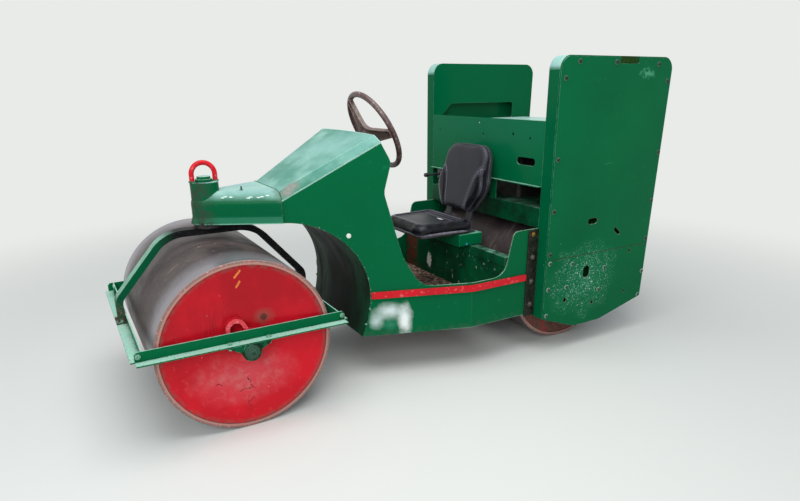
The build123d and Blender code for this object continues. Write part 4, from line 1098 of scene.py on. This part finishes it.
# gloss with faint scratches, and low down round the axle a cloud of pale specks from thrown grit,
# which is drawn a little coarser than it is. Each hole's edge has rusted: x, z and the hole's reach
cover_holes = (
    (0.9715, 0.461, 0.037), (0.9845, 0.761, 0.037), (1.1975, 0.677, 0.03), (0.8165, 0.312, 0.014),
    (1.0465, 0.256, 0.012), (1.3225, 0.28, 0.009), (1.3275, 0.539, 0.01),
)
for name in ("upper", "lower"):
    work = green_enamel(f"green enamel on the {name} covers", "#00643B", "#8FC4AB", chalked=0.8,
                        gloss=0.15, chips=0.62, specked=0.06, dents=0.5)
    cloud = spot(work, (0.96, 0, 0.42), (0.29, 9, 0.25), soft=1.1, ragged=0.35, grain=0.12)
    dense = patches(work, 0.05, 0.44, 0.14, offset=2.0, within=cloud)
    lay(work, cloud, "#0F6B46", 0.25)
    lay(work, specks(work, 0.0045, 0.0025, 0.6, within=dense), "#86C6A6", 0.6)
    lay(work, specks(work, 0.007, 0.0034, 0.5, within=dense), "#B4DECB", 0.6)
    lay(work, specks(work, 0.013, 0.0044, 0.4, within=dense), "#DCF0E8", 0.6)
    for turned, x, z in ((-8, 1.0, 1.165), (3, 1.1, 1.12), (82, 1.27, 1.0)):
        place = spot(work, (x, 0, z), (0.17, 9, 0.13), ragged=0.2)
        lay(work, specks(work, 0.01, 0.0009, 0.05, within=place, drawn=60, turned=turned),
            "#4E9A74", 0.4)
    if name == "upper":
        scuff = spot(work, (1.3, 0, 1.556), (0.075, 9, 0.035), soft=0.6, ragged=0.6, grain=0.03)
        lay(work, patches(work, 0.02, 0.5, 0.1, within=scuff), "#4E9C78", 0.5)
        rust = spot(work, (1.07, 0, 0.5675), (9, 9, 0.004), soft=0.5, ragged=0.1)
        lay(work, rust, "#33241C", 0.8)
    for x, z, reach in cover_holes:
        rust = spot(work, (x, 0, z), (reach + 0.012, 9, reach + 0.01), soft=0.35, ragged=0.2,
                    grain=0.01)
        lay(work, masked(work, rust, edges(work, 0.004)), "#7A5A44", 0.8)
    wear(f"case_{name}_covers", settle(work))

# weathered green washers under heads that are nearly black, partly as painted shadow, with a
# painted highlight round each head's top edge; paler on the lower covers
cover_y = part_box("case_upper_covers")[1].y
bolt_paints = []
for name, washer, head in (("dark", "#4A6B59", "#12221A"), ("pale", "#86AD9A", "#2A4637")):
    work = begin(f"{name} green paint on a cover bolt", washer, 0.45, shine=0.2)
    # the head nearly black: its paint with painted shadow
    lay(work, along(work, "w", cover_y + 0.0022, cover_y + 0.003), head, 0.4)
    lay(work, patches(work, 0.005, 0.58, 0.03, offset=1.0), "#3A3026", 0.7)
    # a painted highlight round the head's top edge
    lay(work, masked(work, edges(work, 0.0012), along(work, "w", cover_y + 0.004, cover_y + 0.005)),
        "#6F9180", 0.5)
    bolt_paints.append(settle(work, relief=0.0003))
upper = (
    (0.7765, 1.611), (1.0475, 1.61), (1.3855, 1.603), (1.4725, 1.514), (0.6885, 1.53),
    (0.6775, 1.124), (1.4765, 1.119), (0.6775, 0.846), (1.4705, 0.835), (1.4615, 0.6),
    (0.6735, 0.605),
)
lower = (
    (0.6785, 0.552), (0.8505, 0.526), (1.1205, 0.465), (1.4645, 0.389), (0.6785, 0.398),
    (0.8185, 0.392), (1.0895, 0.332), (1.4555, 0.233), (0.6785, 0.239),
)
for name, places, finish, washer in (
    ("upper_cover_bolts", upper, bolt_paints[0], 0.0145),
    ("lower_cover_bolts", lower, bolt_paints[1], 0.0135),
):
    bm = bmesh.new()
    for side in (-1, 1):
        for x, z in places:
            turned = 7 * x + z
            fastener(bm, (x, side * cover_y, z), (0, side, 0), 0.0095, 0.006, washer=washer,
                     twist=turned)
    piece(bm, name, finish, "chassis")


# ---- Engine bay -----------------------------------------------------------------------------
# Sheet-steel panels between the cases round an engine: a slotted panel behind the seat, cross
# plates and a bed below, and a flat cover with a vented rear wall. The same green enamel: cleanest
# on the upright panel, whose upper part a painted reflection lightens, darkest, as painted shade,
# on the plates inside, and chalked pale on the cover.
work = green_enamel("green enamel on the back panel", "#005F3A", "#7FB5A0", chalked=0.8, gloss=0.2,
                    specked=0.25, start=0.3, full=0.7)
# a painted reflection lightens the upper part
lay(work, along(work, "z", 1.05, 1.25), "#0B6442", 0.22)
lay(work, specks(work, 0.03, 0.0022, 0.12), "#17281D", 0.6)
wear("back_panel", settle(work))
# darker than the other panels, as painted shade on the plates inside the bay
work = green_enamel("green enamel on the bay plates", "#064027", "#3F7159", chalked=0.5, gloss=0.25,
                    chips=0.58, specked=0.3)
lay(work, patches(work, 0.1, 0.5, 0.12, offset=2.0), "#0A2E1C", 0.4)
bay_paint = settle(work)
for name in ("cross_plate_front", "cross_plate_rear", "engine_bed"):
    wear(name, bay_paint)
work = green_enamel("green enamel on the engine cover", "#00603A", "#A7CDC4", chalked=0.95,
                    gloss=0.2, specked=0.3)
cover_paint = settle(work)
for name in ("engine_cover", "rear_panel"):
    wear(name, cover_paint)

# dark, dull and blotched with oil; hardly any of it shows
work = begin("oily cast iron", "#2A2B2A", 0.5, metallic=0.3)
lay(work, patches(work, 0.05, 0.5, 0.1), "#1F1D1B", 0.6, height=0.5)
lay(work, patches(work, 0.02, 0.6, 0.05), "#453E37", 0.7)
wear("engine", settle(work))
